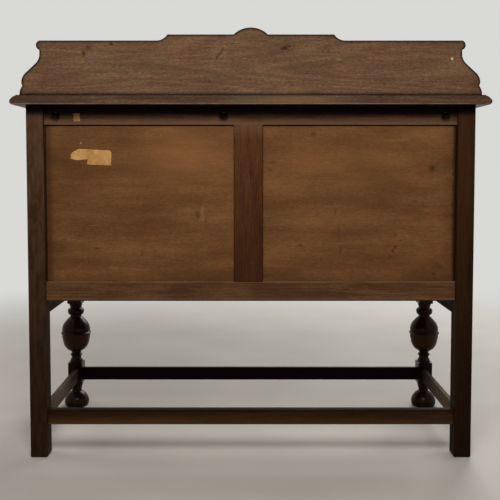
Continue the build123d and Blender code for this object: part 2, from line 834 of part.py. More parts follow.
def dovetails(x, root, tip, mode):
    """The row of tails at a drawer side's front end, or their sockets in the drawer front."""
    pitch = drawer_side_height / tail_count
    direction = 1 if tip > root else -1
    for number in range(tail_count):
        middle = drawer_foot + pitch * number + pitch / 2
        narrow = pitch * tail_root_share / 2
        wide = narrow + tail_slope_share * abs(tip - root)
        with BuildSketch(Plane(origin=(x[0], 0, 0), x_dir=(0, 1, 0), z_dir=(1, 0, 0))) as tail:
            with BuildLine():
                Polyline(
                    (root - direction * glue_play, middle - narrow),
                    (root, middle - narrow),
                    (tip, middle - wide),
                    (tip, middle + wide),
                    (root, middle + narrow),
                    (root - direction * glue_play, middle + narrow),
                    close=True,
                )
            make_face()
        extrude(tail.sketch, amount=x[1] - x[0], mode=mode)


def drawer(side, suffix):
    """One drawer: lapped dovetails at the front, the bottom grooved into the sides and front."""
    inner_side = ends(leaf_inner, leaf_inner + drawer_side_thickness, side)
    outer_side = ends(leaf_outer - drawer_side_thickness, leaf_outer, side)
    tail_tip = drawer_front_back - tail_length
    low, high = leaf_inner + drawer_side_thickness, leaf_outer - drawer_side_thickness
    inside = ends(low, high, side)
    groove = ends(low - drawer_groove, high + drawer_groove, side)
    tongue = ends(low - drawer_groove + glue_play, high + drawer_groove - glue_play, side)
    bottom = (drawer_bottom_foot, drawer_bottom_head)
    face = (front_face, drawer_front_back)
    with BuildPart() as front:
        block(ends(leaf_inner, leaf_outer, side), face, (drawer_front_foot, drawer_front_head))
        fillet(front.faces().sort_by(Axis.Y)[0].edges(), arris)
        block(inside, (drawer_front_back - drawer_groove, drawer_front_back), bottom, Mode.SUBTRACT)
        for x in (inner_side, outer_side):
            dovetails(x, drawer_front_back, tail_tip, Mode.SUBTRACT)
    keep(front, f"drawer_{suffix}_front")
    with BuildPart() as box:
        for x in (inner_side, outer_side):
            block(x, (drawer_front_back, drawer_end), (drawer_foot, drawer_side_head))
            dovetails(x, drawer_front_back, tail_tip, Mode.ADD)
        block(groove, (drawer_front_back, drawer_end), bottom, Mode.SUBTRACT)
    with BuildPart() as back:
        block(inside, (drawer_back_front, drawer_back_rear), (drawer_bottom_head, drawer_side_head))
    sides_and_back = Compound(children=[*box.part.solids(), *back.part.solids()])
    sides_and_back.label = f"drawer_{suffix}_box"
    export_step(sides_and_back, f"parts/drawer_{suffix}_box.step")
    with BuildPart() as board:
        block(tongue, (drawer_front_back, drawer_back_rear), bottom)
        block(inside, (drawer_front_back - drawer_groove + glue_play, drawer_front_back), bottom)
    keep(board, f"drawer_{suffix}_bottom")
    reach = drawer_moulding_gap / 2
    with BuildPart() as mouldings:
        for near, far in (
            (leaf_inner + drawer_moulding_margin, leaf_middle - reach),
            (leaf_middle + reach, leaf_outer - drawer_moulding_margin),
        ):
            mitred_frame(
                ends(near, far, side),
                (drawer_front_foot + drawer_moulding_margin, drawer_front_head - drawer_moulding_margin),
            )
    keep(mouldings, f"drawer_{suffix}_moulding")


def mitred_frame(x, z):
    """A rectangular frame of moulding with mitred corners: a bead outside and a slope to the inside."""
    middle = (x[0] + x[1]) / 2
    face = Plane(origin=(0, front_face, 0), x_dir=(1, 0, 0), z_dir=(0, -1, 0))
    start = Plane(origin=(middle, front_face, z[0]), x_dir=(0, 0, 1), z_dir=(1, 0, 0))
    with BuildLine(face) as path:
        Polyline((middle, z[0]), (x[1], z[0]), (x[1], z[1]), (x[0], z[1]), (x[0], z[0]), close=True)
    with BuildSketch(start) as section:
        with BuildLine():
            bead_foot = (moulding_bead, moulding_height / 2)
            bead_head = (0, moulding_height / 2)
            Line((0, 0), (moulding_width, 0))
            Line((moulding_width, 0), bead_foot)
            ThreePointArc(bead_foot, (moulding_bead / 2, moulding_height), bead_head)
            Line(bead_head, (0, 0))
        make_face()
    sweep(section.sketch, path=path.line, transition=Transition.RIGHT)


def door(side, suffix):
    """One door: two stiles, two rails, a flat panel in their grooves and an applied moulding."""
    outer = (leaf_inner, leaf_outer)
    inner = (leaf_inner + stile_width, leaf_outer - stile_width)
    depth = (front_face, door_back)
    groove = (front_face + door_panel_recess, front_face + door_panel_recess + door_panel_thickness)
    opening = (door_foot + stile_width, door_head - stile_width)
    tongue = ends(inner[0] - door_groove, inner[1] + door_groove, side)
    with BuildPart() as stiles:
        block(ends(outer[0], inner[0], side), depth, (door_foot, door_head))
        block(ends(inner[1], outer[1], side), depth, (door_foot, door_head))
        block(tongue, groove, (door_foot, door_head), Mode.SUBTRACT)
        for foot in hinge_feet:
            block(
                ends(leaf_outer - leaf_thickness, leaf_outer, side),
                (front_face, front_face + leaf_width),
                (foot, foot + hinge_length),
                Mode.SUBTRACT,
            )
    keep(stiles, f"door_{suffix}_stiles")
    with BuildPart() as rails:
        for heights in ((door_foot, opening[0]), (opening[1], door_head)):
            block(ends(*inner, side), depth, heights)
            block(tongue, groove, heights)
        block(tongue, groove, (opening[0] - door_groove, opening[1] + door_groove), Mode.SUBTRACT)
    keep(rails, f"door_{suffix}_rails")
    with BuildPart() as panel:
        block(
            (tongue[0] + glue_play, tongue[1] - glue_play),
            groove,
            (opening[0] - door_groove + glue_play, opening[1] + door_groove - glue_play),
        )
    keep(panel, f"door_{suffix}_panel")
    with BuildPart() as moulding:
        mitred_frame(
            ends(leaf_inner + door_moulding_inset, leaf_outer - door_moulding_inset, side),
            (door_foot + door_moulding_inset, door_head - door_moulding_inset),
        )
    keep(moulding, f"door_{suffix}_moulding")


def knuckles(side, foot, first, leaf_x, bore):
    """A hinge leaf with every other knuckle, counted from the first, and the knuckles' bore."""
    pitch = hinge_length / knuckle_count
    block(ends(*leaf_x, side), (front_face, front_face + leaf_width), (foot, foot + hinge_length))
    for number in range(first, knuckle_count, 2):
        low = foot + number * pitch + knuckle_gap / 2
        high = low + pitch - knuckle_gap
        block(ends(*leaf_x, side), (hinge_y, front_face), (low, high))
        with Locations((side * hinge_x, hinge_y, low)):
            rod(knuckle_radius, high - low)
    with Locations((side * hinge_x, hinge_y, foot)):
        rod(bore, hinge_length, Mode.SUBTRACT)


def hinges():
    """Two butt hinges to a door: leaves let into leg and stile, and a pin through their knuckles."""
    leg_leaf = (leg_inner, leg_inner + leaf_thickness)
    door_leaf = (leaf_outer - leaf_thickness, leaf_outer)
    carcass_leaves = []
    for side in (-1, 1):
        for foot in hinge_feet:
            with BuildPart() as leaf:
                knuckles(side, foot, 0, leg_leaf, hinge_pin_radius)
            with BuildPart() as pin:
                with Locations((side * hinge_x, hinge_y, foot - pin_cap_height)):
                    rod(hinge_pin_radius, hinge_length + 2 * pin_cap_height)
                for low in (foot - pin_cap_height, foot + hinge_length):
                    with Locations((side * hinge_x, hinge_y, low)):
                        rod((hinge_pin_radius + knuckle_radius) / 2, pin_cap_height)
            carcass_leaves += [*leaf.part.solids(), *pin.part.solids()]
    fixed = Compound(children=carcass_leaves)
    fixed.label = "carcass_hinge_leaves"
    export_step(fixed, "parts/carcass_hinge_leaves.step")
    for side, suffix in ((-1, "left"), (1, "right")):
        with BuildPart() as leaves:
            for foot in hinge_feet:
                knuckles(side, foot, 1, door_leaf, hinge_pin_radius + pin_play)
        keep(leaves, f"door_{suffix}_hinge_leaves")


def drop_pull(x, z, name):
    """A pear drop that swings from a pin between the two ears of its backplate."""
    ear_inner = eye_thickness / 2 + ear_gap
    face = Plane(origin=(x, front_face, z), x_dir=(1, 0, 0), z_dir=(0, -1, 0))
    with BuildPart() as plate:
        with BuildSketch(face):
            Circle(plate_lobe_radius)
            with Locations((0, plate_tip_offset), (0, -plate_tip_offset)):
                Circle(plate_tip_radius)
        extrude(amount=plate_thickness)
        with BuildSketch(face.offset(plate_thickness)):
            Circle(boss_radius)
        extrude(amount=boss_height, taper=boss_taper)
        for side in (-1, 1):
            cheek = ends(ear_inner, ear_inner + ear_thickness, side)
            arm = (pull_y, front_face - plate_thickness)
            block((x + cheek[0], x + cheek[1]), arm, (z - ear_radius, z + ear_radius))
            with Locations(Plane(origin=(x + cheek[0], pull_y, z), z_dir=(1, 0, 0))):
                rod(ear_radius, ear_thickness)
        with Locations(Plane(origin=(x - ear_inner, pull_y, z), z_dir=(1, 0, 0))):
            rod(pull_pin_radius, 2 * ear_inner)
    keep(plate, f"{name}_plate")
    with BuildPart() as drop:
        with BuildSketch(lathe_plane(x, pull_y)):
            with BuildLine():
                crown = z - pear_shares[0][1] * pear_length
                first = (pear_shares[0][0] * pear_radius, crown)
                Line((0, crown), first)
                tip = outline(first, pear_shares[1:], pear_radius, z, -pear_length)
                Line(tip, (0, crown))
            make_face()
        revolve(axis=Axis((x, pull_y, 0), (0, 0, 1)))
        with Locations(Plane(origin=(x - eye_thickness / 2, pull_y, z), z_dir=(1, 0, 0))):
            rod(eye_radius, eye_thickness)
            rod(pull_pin_radius + pin_play, eye_thickness, Mode.SUBTRACT)
    keep(drop, f"{name}_drop")


def ball_catches():
    """Two sprung ball catches, let into the post between the doors."""
    reach = post_half + front_gap - ball_gap
    with BuildPart() as barrels:
        for side in (-1, 1):
            mouth = Plane(origin=(side * post_half, catch_y, catch_height), z_dir=(-side, 0, 0))
            with Locations(mouth):
                rod(catch_radius, catch_length)
                rod(ball_radius + pin_play, catch_length - catch_base, Mode.SUBTRACT)
    keep(barrels, "catch_barrels")
    for side, suffix in ((-1, "left"), (1, "right")):
        centre = side * (reach - ball_radius)
        with BuildPart() as ball:
            with Locations((centre, catch_y, catch_height)):
                Sphere(ball_radius)
            with Locations(Plane(origin=(centre, catch_y, catch_height), z_dir=(-side, 0, 0))):
                rod(ball_radius, ball_shank)
        keep(ball, f"catch_ball_{suffix}")


def screw(x, y, seat, length):
    """One upright wood screw, with its head under its seat."""
    with Locations((x, y, seat - screw_head_height)):
        rod(screw_head_radius, screw_head_height)
    with Locations((x, y, seat)):
        rod(screw_radius, length - screw_tip_gap)


def wood_screws():
    """The screws that hold the top to its rails and the upstand to the top."""
    with BuildPart() as screws:
        for x, y, seat in top_screws:
            screw(x, y, seat, screw_length)
        for x in upstand_screw_x:
            screw(x, upstand_middle, top_foot + screw_head_height, upstand_screw_length)
    keep(screws, "wood_screws")


for side, suffix in ((-1, "left"), (1, "right")):
    front_leg(side, f"front_leg_{suffix}")
    rear_leg(side, f"rear_leg_{suffix}")
    end_frame(side, suffix)
    drawer(side, suffix)
    door(side, suffix)
    drop_pull(side * leaf_middle, drawer_pull_z, f"drawer_{suffix}")
    drop_pull(side * (leaf_inner + door_pull_inset), door_pull_z, f"door_{suffix}")
stretchers()
back_frame()
front_frame()
top_board()
upstand()
inside_boards()
drawer_runs()
hinges()
ball_catches()
wood_screws()
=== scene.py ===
# %% [markdown]
# # The looks of an oak sideboard, seen from behind
# The joinery comes ready made from the CAD model: every board, leg and hinge is already a mesh in its place.
# This lesson gives those meshes their finishes, adds the two scraps of old paper that are stuck to the back,
# and sets up the camera, the light and the floor. Lengths are in metres unless a name says millimetres.

import math

import bmesh
import bpy
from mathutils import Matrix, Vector, noise


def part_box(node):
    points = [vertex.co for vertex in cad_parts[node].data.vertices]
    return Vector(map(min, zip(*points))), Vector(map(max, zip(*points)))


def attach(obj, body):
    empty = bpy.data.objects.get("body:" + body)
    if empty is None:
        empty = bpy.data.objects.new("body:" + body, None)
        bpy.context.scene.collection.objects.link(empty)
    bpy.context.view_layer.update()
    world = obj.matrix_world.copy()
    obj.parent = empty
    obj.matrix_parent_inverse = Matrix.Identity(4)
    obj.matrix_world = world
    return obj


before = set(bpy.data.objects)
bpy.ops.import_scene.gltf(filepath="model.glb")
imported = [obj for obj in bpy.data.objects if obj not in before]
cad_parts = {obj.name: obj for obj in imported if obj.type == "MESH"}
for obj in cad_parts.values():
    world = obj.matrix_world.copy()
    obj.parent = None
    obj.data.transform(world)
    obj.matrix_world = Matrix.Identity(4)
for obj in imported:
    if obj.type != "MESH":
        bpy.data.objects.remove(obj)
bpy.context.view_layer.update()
scene = bpy.context.scene

# %% [markdown]
# ## Small helpers
# A paint chart gives colours as hex values, which are sRGB. The renderer counts in linear light, so one
# function turns them over. Another adds a node, sets it up and joins it to the nodes before it: a value
# that is a socket is linked, and any other value is typed into the socket. The rest grade a pattern into
# colours, turn a number into a soft mask, and lay one colour over another.

# %% Colour and node helpers
MM = 0.001


def paint(code):
    """A hex sRGB colour as linear red, green, blue and alpha."""
    shares = [int(code[i:i + 2], 16) / 255 for i in (1, 3, 5)]
    return (*[s / 12.92 if s <= 0.04045 else ((s + 0.055) / 1.055) ** 2.4 for s in shares], 1.0)


def add(tree, kind, settings=None, inputs=None):
    """Add a node, set its settings and fill or link its inputs."""
    node = tree.nodes.new(kind)
    for name, value in (settings or {}).items():
        setattr(node, name, value)
    for name, value in (inputs or {}).items():
        socket = node.inputs[name]
        if isinstance(value, bpy.types.NodeSocket):
            tree.links.new(value, socket)
        else:
            socket.default_value = value
    return node


def new_material(name):
    """An empty node material: its tree and its surface shader."""
    material = bpy.data.materials.new(name)
    material.use_nodes = True
    return material, material.node_tree, material.node_tree.nodes["Principled BSDF"]


def grade(tree, factor, stops):
    """Colours along a factor: rows of position and hex colour."""
    ramp = add(tree, "ShaderNodeValToRGB", inputs={"Fac": factor})
    while len(ramp.color_ramp.elements) < len(stops):
        ramp.color_ramp.elements.new(0.5)
    for element, (position, code) in zip(ramp.color_ramp.elements, stops):
        element.position = position
        element.color = paint(code)
    return ramp.outputs["Color"]


def between(tree, value, low, high, start=0.0, end=1.0):
    """Ease from start to end while the value goes from low to high."""
    return add(tree, "ShaderNodeMapRange", {"interpolation_type": "SMOOTHSTEP"}, {
        "Value": value, "From Min": low, "From Max": high, "To Min": start, "To Max": end,
    }).outputs["Result"]


def tint(tree, base, code, factor, mode="MIX"):
    """Lay a hex colour, or the colour of a socket, over a base by a factor."""
    mix = add(tree, "ShaderNodeMix", {"data_type": "RGBA", "blend_type": mode})
    over = paint(code) if isinstance(code, str) else code
    for socket, value in zip((mix.inputs[0], mix.inputs[6], mix.inputs[7]), (factor, base, over)):
        if isinstance(value, bpy.types.NodeSocket):
            tree.links.new(value, socket)
        else:
            socket.default_value = value
    return mix.outputs[2]


print("a middle grey, #808080, is", round(paint("#808080")[0], 3), "in linear light")

# %% [markdown]
# ## Oak, as a board's grain
# Oak is ring porous: each year leaves a band of open pores that shows as a fine dark streak along the board,
# and the bands together make the broad figure. A photograph could be wrapped on the boards, but a pattern
# worked out in space runs through a board as real grain does, and shows on the end grain too. Noise that is
# stretched along the board gives the streaks. Each board starts at a place of its own in the noise, so that
# no two look as if they were cut from one plank.

# %% Grain pattern
AXES = {"X": 0, "Y": 1, "Z": 2}
BOARD_STEP = (7.3, 4.1, 5.7)


def streaks(tree, where, along, across_mm, along_mm, detail=3.0, distortion=0.0):
    """Noise whose marks are this wide across the grain and this long along it."""
    scale = [1 / (across_mm * MM)] * 3
    scale[AXES[along]] = 1 / (along_mm * MM)
    stretched = add(tree, "ShaderNodeMapping", inputs={"Vector": where, "Scale": scale}).outputs["Vector"]
    return add(tree, "ShaderNodeTexNoise", inputs={
        "Vector": stretched, "Scale": 1.0, "Detail": detail, "Roughness": 0.6, "Distortion": distortion,
    }).outputs["Fac"]


def own_place(tree):
    """Object space, and the same moved by a random step for each board."""
    space = add(tree, "ShaderNodeTexCoord").outputs["Object"]
    board = add(tree, "ShaderNodeObjectInfo").outputs["Random"]
    moved = add(tree, "ShaderNodeVectorMath", {"operation": "MULTIPLY_ADD"}, {
        0: board, 1: BOARD_STEP, 2: space,
    }).outputs["Vector"]
    return space, moved


print("grain can run along", ", ".join(AXES))

# %% [markdown]
# ## The tone of a board
# Four patterns make the tone: year bands, which are a slow figure read through a sine, fine streaks of early
# and late wood, clouds where the stain took more or less, and short flecks from the plane. Each has a share,
# and a colour ramp then reads the sum. The open pores lie over it as dark dashes. The camera sees about
# 2.6 mm in one pixel, so the pores, 0.3 mm wide in real oak, are drawn 2 mm wide.

# %% Tone of a board
# Width across the grain and length along it, in millimetres.
FIGURE_MM, FINE_MM, CLOUD_MM, FLECK_MM, PORE_MM = (95, 900), (3.4, 90), (60, 190), (2.8, 8), (2.0, 34)
PORE_RANGE = (0.54, 0.70)


def grain(tree, place, along, rings, shares):
    """The tone of a board, its fine streaks and its open pores."""
    figure = streaks(tree, place, along, *FIGURE_MM, detail=1.5, distortion=0.3)
    turns = add(tree, "ShaderNodeMath", {"operation": "MULTIPLY"}, {0: figure, 1: rings * math.tau})
    wave = add(tree, "ShaderNodeMath", {"operation": "SINE"}, {0: turns.outputs[0]}).outputs[0]
    fine = streaks(tree, place, along, *FINE_MM, detail=4.0)
    cloud = streaks(tree, place, along, *CLOUD_MM, detail=3.0)
    fleck = streaks(tree, place, along, *FLECK_MM, detail=2.0)
    tone = add(tree, "ShaderNodeMath", {"operation": "MULTIPLY"}, {
        0: between(tree, wave, -1.0, 1.0), 1: shares[0],
    }).outputs[0]
    for pattern, share in zip((fine, cloud, fleck), shares[1:]):
        tone = add(tree, "ShaderNodeMath", {"operation": "MULTIPLY_ADD"}, {
            0: pattern, 1: share, 2: tone,
        }).outputs[0]
    pores = between(tree, streaks(tree, place, along, *PORE_MM, detail=2.0), *PORE_RANGE)
    return tone, fine, pores


print("pores are drawn", PORE_MM[0], "mm wide and", PORE_MM[1], "mm long")

# %% [markdown]
# ## Stains, knots and nail marks
# An old back is full of small marks, and each sits at its own place on a board. A mark is a soft ellipse
# around a point, mixed over the wood. Its border would be too clean, so the space that it is measured in is
# first pushed about by a few millimetres of noise.

# %% Marks on a face
WOBBLE = (0.008, 0.0, 0.006)
# How far back the marked faces lie.
UPSTAND_BACK_MM, TOP_BACK_MM, RAIL_BACK_MM, PANEL_BACK_MM = 253, 255, 221, 216


def spot(tree, colour, space, middle_mm, reach_mm, code, strength, soft):
    """A soft mark at a place on a board, as wide, deep and high as its reach."""
    centre, reach = [c * MM for c in middle_mm], [r * MM for r in reach_mm]
    off = add(tree, "ShaderNodeVectorMath", {"operation": "SUBTRACT"}, {0: space, 1: centre})
    share = add(tree, "ShaderNodeVectorMath", {"operation": "DIVIDE"}, {0: off.outputs["Vector"], 1: reach})
    far = add(tree, "ShaderNodeVectorMath", {"operation": "LENGTH"}, {0: share.outputs["Vector"]})
    return tint(tree, colour, code, between(tree, far.outputs["Value"], 1 - soft, 1.0, strength, 0.0))


def wobbled(tree, space):
    """Object space, pushed about by a few millimetres."""
    push = add(tree, "ShaderNodeTexNoise", inputs={"Vector": space, "Scale": 90.0, "Detail": 2.0})
    return add(tree, "ShaderNodeVectorMath", {"operation": "MULTIPLY_ADD"}, {
        0: push.outputs["Color"], 1: WOBBLE, 2: space,
    }).outputs["Vector"]


def marks(face_mm, rows, deep_mm=9):
    """Marks on a face that looks back: rows of x, z, half width, half height, colour, strength, softness."""
    return [((x, face_mm, z), (wide, deep_mm, high), *look) for x, z, wide, high, *look in rows]


print("a mark's border wanders by up to", round(WOBBLE[0] / MM), "mm")

# %% [markdown]
# ## Two finishes on one board
# The top and the upstand are polished all round and dry behind, and the polish stops at the arris. One
# material can hold both finishes: where a face looks straight back it is the dry oak, and everywhere else the
# polish. The thin dark outline is partly where the two meet and partly painted shade, on the rounded arrises
# and in the joint where the upstand stands on the top. A bevelled normal leans away from the flat one near an
# arris, and how far it leans makes the mask.

# %% Dry behind, dark along the arris
LOOKS_BACK = (0.80, 0.97)
POLISH_ROUGHNESS = 0.38
LEAN = (0.92, 0.999)


def dry_behind(tree, colour, roughness, tone, polish):
    """Keeps the dry finish on faces that look back and polishes all others."""
    normal = add(tree, "ShaderNodeTexCoord").outputs["Normal"]
    facing = add(tree, "ShaderNodeSeparateXYZ", inputs={"Vector": normal}).outputs["Y"]
    seen = between(tree, facing, *LOOKS_BACK)
    rough = add(tree, "ShaderNodeMix", inputs={0: seen, 2: POLISH_ROUGHNESS, 3: roughness}).outputs[0]
    return tint(tree, grade(tree, tone, polish), colour, seen), rough


def polish_edge_and_shade(tree, colour, height, code, strength, reach_mm, from_mm):
    """Darkens a board along its arrises above a height: the polish's edge, and painted shade in rounds and
    joints.
    """
    rounded = add(tree, "ShaderNodeBevel", {"samples": 8}, {"Radius": reach_mm * MM}).outputs["Normal"]
    flat = add(tree, "ShaderNodeNewGeometry").outputs["Normal"]
    lean = add(tree, "ShaderNodeVectorMath", {"operation": "DOT_PRODUCT"}, {0: rounded, 1: flat})
    # Partly the edge of the polish, partly painted shade on the rounded arrises and in the joint.
    near = between(tree, lean.outputs["Value"], *LEAN, strength, 0.0)
    if from_mm:
        kept = between(tree, height, from_mm * MM, (from_mm + 2) * MM)
        near = add(tree, "ShaderNodeMath", {"operation": "MULTIPLY"}, {0: near, 1: kept}).outputs[0]
    return tint(tree, colour, code, near, "MULTIPLY")


print("the dry finish starts", round(math.degrees(math.acos(LOOKS_BACK[0]))), "degrees from straight back")

# %% [markdown]
# ## Stained and polished oak
# The parts that are meant to be seen were fumed or stained nearly black and rubbed with shellac: deep brown,
# with a soft sheen that is uneven where hands have worn it. A glossy layer over a rough base would be a coat;
# here the polish has sunk into the grain, so one low roughness that varies with the streaks reads truer.
# The same function makes every wood of the piece: the stops give its colours from pore to highlight, and a
# shade is a function that darkens or fades it by its place on the piece.

# %% Make a wood finish
STREAK_RANGE = (0.3, 0.7)
WOOD_IOR = 1.5


def wood(name, along, stops, rings=26, shares=(0.14, 0.40, 0.22, 0.24), pores=0.5, gloss=(0.42, 0.62),
         relief=0.25, specular=0.25, spots=(), shade=None, polish=None, arris=0.0, arris_mm=7,
         arris_from_mm=0):
    """A wood finish with its grain along one axis.

    The shares weigh year bands, streaks, clouds and flecks. The polish has the stops for faces that don't
    look back. The arris says how dark the outline is, its reach how wide, and it starts at a height.
    """
    material, tree, shader = new_material(name)
    space, place = own_place(tree)
    at = add(tree, "ShaderNodeSeparateXYZ", inputs={"Vector": space}).outputs
    tone, fine, open_pores = grain(tree, place, along, rings, shares)
    darkness = add(tree, "ShaderNodeMath", {"operation": "MULTIPLY"}, {0: open_pores, 1: pores}).outputs[0]
    colour = tint(tree, grade(tree, tone, stops), stops[0][1], darkness)
    nudged = wobbled(tree, space) if spots else None
    for mark in spots:
        colour = spot(tree, colour, nudged, *mark)
    if shade:
        colour = shade(tree, colour, at, place)
    roughness = between(tree, fine, *STREAK_RANGE, *gloss)
    if polish:
        colour, roughness = dry_behind(tree, colour, roughness, tone, polish)
    if arris:
        colour = polish_edge_and_shade(tree, colour, at["Z"], stops[0][1], arris, arris_mm, arris_from_mm)
    height = add(tree, "ShaderNodeMath", {"operation": "SUBTRACT"}, {0: fine, 1: open_pores}).outputs[0]
    bump = add(tree, "ShaderNodeBump", inputs={"Strength": relief, "Distance": 0.5 * MM, "Height": height})
    tree.links.new(colour, shader.inputs["Base Color"])
    tree.links.new(roughness, shader.inputs["Roughness"])
    tree.links.new(bump.outputs["Normal"], shader.inputs["Normal"])
    shader.inputs["Specular IOR Level"].default_value = specular
    shader.inputs["IOR"].default_value = WOOD_IOR
    return material


POLISHED = [(0.25, "#1e1109"), (0.5, "#372114"), (0.78, "#543825")]
case_oak = {axis: wood(f"polished_oak_{axis}", axis, POLISHED, gloss=(0.32, 0.5), specular=0.14)
            for axis in AXES}
print("polished oak for", len(case_oak), "grain directions")

# %% [markdown]
# ## Square legs
# The legs have the same stain. Towards the floor painted shade darkens them, and just under the top the
# shadow of the top's overhang is painted on them. The leg at the camera's left is a lighter brown in
# blotches, and the one at its right is a little darker.

# %% Leg oak
# A dark brown for one leg and for the painted shade near the floor, a near black for the top's painted
# shadow.
LEG_DARK, TOP_SHADOW = "#120903", "#030101"
# Where the changes start and end: across for the two legs, upwards for painted shade and painted shadow.
PALE_LEG, DARK_LEG = (0.3, 0.5), (-0.5, -0.3)
FLOOR_SHADE_HEIGHTS, FLOOR_SHADE_WANDER, LEG_TOP_SHADOW_HEIGHTS = (0.25, 0.95), 0.25, (0.888, 0.906)


def leg_blotches_and_shade(tree, colour, at, place):
    """Lightens one leg in blotches and darkens the other; paints shade near the floor and under the top."""
    blotch = between(tree, streaks(tree, place, "Z", 9, 45), 0.35, 0.65, 0.15, 0.52)
    pale = add(tree, "ShaderNodeMath", {"operation": "MULTIPLY"}, {
        0: between(tree, at["X"], *PALE_LEG), 1: blotch,
    }).outputs[0]
    colour = tint(tree, colour, "#644a38", pale)
    colour = tint(tree, colour, LEG_DARK, between(tree, at["X"], *DARK_LEG, 0.16, 0.0))
    # Painted shade: darker towards the floor, along a border that wanders.
    cloud = streaks(tree, place, "Z", 25, 160)
    loose = add(tree, "ShaderNodeMath", {"operation": "MULTIPLY_ADD"}, {0: cloud, 1: FLOOR_SHADE_WANDER, 2: at["Z"]})
    colour = tint(tree, colour, LEG_DARK, between(tree, loose.outputs[0], *FLOOR_SHADE_HEIGHTS, 0.72, 0.0))
    # Painted shadow of the top's overhang, just under the top.
    return tint(tree, colour, TOP_SHADOW, between(tree, at["Z"], *LEG_TOP_SHADOW_HEIGHTS, 0.0, 0.94))


LEG_STOPS = [(0.30, "#1f1007"), (0.5, "#38210f"), (0.72, "#4e3119")]
leg_oak = {axis: wood(f"leg_oak_{axis}", axis, LEG_STOPS, rings=8, shares=(0.08, 0.44, 0.28, 0.20),
                      gloss=(0.55, 0.75), shade=leg_blotches_and_shade, specular=0.04) for axis in AXES}
print("leg oak:", ", ".join(material.name for material in leg_oak.values()))

# %% [markdown]
# ## Stretchers
# The four stretchers differ. The rear one is lighter towards its foot, more at one end, and has a dark line
# along its upper arris. The side ones are greyer, with painted shade towards the front legs, and the front
# one is nearly black, painted shade for the shadow of the case above it.

# %% Stretcher oak
# Across the rear stretcher for its lighter end, front to back for the painted shade on the side ones.
LIGHTER_ACROSS, FRONT_SHADE_RANGE = (-0.35, 0.35), (-0.11, 0.02)


def lighter_down(tree, colour, at, place):
    """Leaves a dark line along the upper arris and lightens the rest towards its foot, more at one end."""
    low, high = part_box("rear_stretcher")
    cloud = streaks(tree, place, "X", 30, 150)
    loose = add(tree, "ShaderNodeMath", {"operation": "MULTIPLY_ADD"}, {0: cloud, 1: 24 * MM, 2: at["Z"]})
    lightened = add(tree, "ShaderNodeMath", {"operation": "MULTIPLY"}, {
        0: between(tree, loose.outputs[0], low.z + 6 * MM, high.z + 4 * MM, 1.0, 0.0),
        1: between(tree, at["X"], *LIGHTER_ACROSS, 0.34, 0.62),
    }).outputs[0]
    colour = tint(tree, colour, "#5a4227", lightened)
    return tint(tree, colour, "#0d0703", between(tree, at["Z"], high.z - 9 * MM, high.z - 3 * MM, 0.0, 0.6))


def shaded_forward(tree, colour, at, place):
    """Paints shade on the side stretchers, darker towards the front legs."""
    return tint(tree, colour, "#150c07", between(tree, at["Y"], *FRONT_SHADE_RANGE, 0.85, 0.0))


rear_stretcher_oak = wood("rear_stretcher_oak", "X", [(0.30, "#1b0f06"), (0.5, "#2e1b0d"), (0.72, "#452b13")],
                          rings=8, shares=(0.08, 0.40, 0.34, 0.18), gloss=(0.5, 0.7), shade=lighter_down,
                          specular=0.05)
side_stretcher_oak = wood("side_stretcher_oak", "Y", [(0.30, "#33281f"), (0.5, "#534437"), (0.72, "#6c5b4b")],
                          rings=8, shares=(0.08, 0.44, 0.28, 0.20), gloss=(0.5, 0.7), shade=shaded_forward,
                          specular=0.05)
# Painted shade: the front stretcher's finish is nearly black, darker than its stain, for the case's shadow.
front_shadow_oak = wood("shadowed_polished_oak", "X", [(0.30, "#080302"), (0.5, "#100603"), (0.72, "#1c0d06")], rings=14,
                shares=(0.08, 0.46, 0.28, 0.18), gloss=(0.4, 0.55), relief=0.1, specular=0.04)
foot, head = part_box("rear_stretcher")
print("the rear stretcher is", round((head.z - foot.z) / MM), "mm high")

# %% [markdown]
# ## Turned legs
# The front legs were turned on a lathe and polished there, so they are the shiniest wood of the piece. The
# cup of each bulb is a warmer brown than its cover, and above the turnings the leg has the front's brown.

# %% Turned oak
CUP_FOOT, CUP_HEAD, FRONT_FROM = (0.185, 0.205), (0.232, 0.238), (0.345, 0.40)


def redder_up(tree, colour, at, place):
    """Warms the cups and the upper ends of the front legs."""
    cup = add(tree, "ShaderNodeMath", {"operation": "MULTIPLY"}, {
        0: between(tree, at["Z"], *CUP_FOOT), 1: between(tree, at["Z"], *CUP_HEAD, 0.55, 0.0),
    }).outputs[0]
    colour = tint(tree, colour, "#4a2d17", cup)
    return tint(tree, colour, "#4a2e1c", between(tree, at["Z"], *FRONT_FROM, 0.0, 0.65))


turned_oak = wood("turned_oak", "Z", [(0.30, "#0e0502"), (0.5, "#1e0d06"), (0.72, "#34190c")], rings=14,
                  shares=(0.10, 0.44, 0.28, 0.18), gloss=(0.20, 0.32), relief=0.1, shade=redder_up,
                  specular=0.09)
print("the cup reaches up to", CUP_HEAD[0], "m")

# %% [markdown]
# ## The back of the upstand
# Behind, the upstand was only planed and thinly stained, and dust has greyed it. The stain has turned redder
# in patches and has worn to a dusty olive in others. Its marks are knots, a scratch that slants, bruises near
# one end and a pale nail hole near the other.

# %% Dry oak of the upstand
PATCHES = [("#6f4130", 0.17), ("#5f5133", 0.20)]


def weathered(tree, colour, at, place):
    """Patches of redder and of olive stain."""
    for number, (code, share) in enumerate(PATCHES):
        moved = add(tree, "ShaderNodeVectorMath", {"operation": "ADD"}, {0: place, 1: (number * 3.1, 0, 1.7)})
        patch = streaks(tree, moved.outputs["Vector"], "X", 45, 110, detail=4.0)
        colour = tint(tree, colour, code, between(tree, patch, 0.46, 0.66, 0.0, share))
    return colour


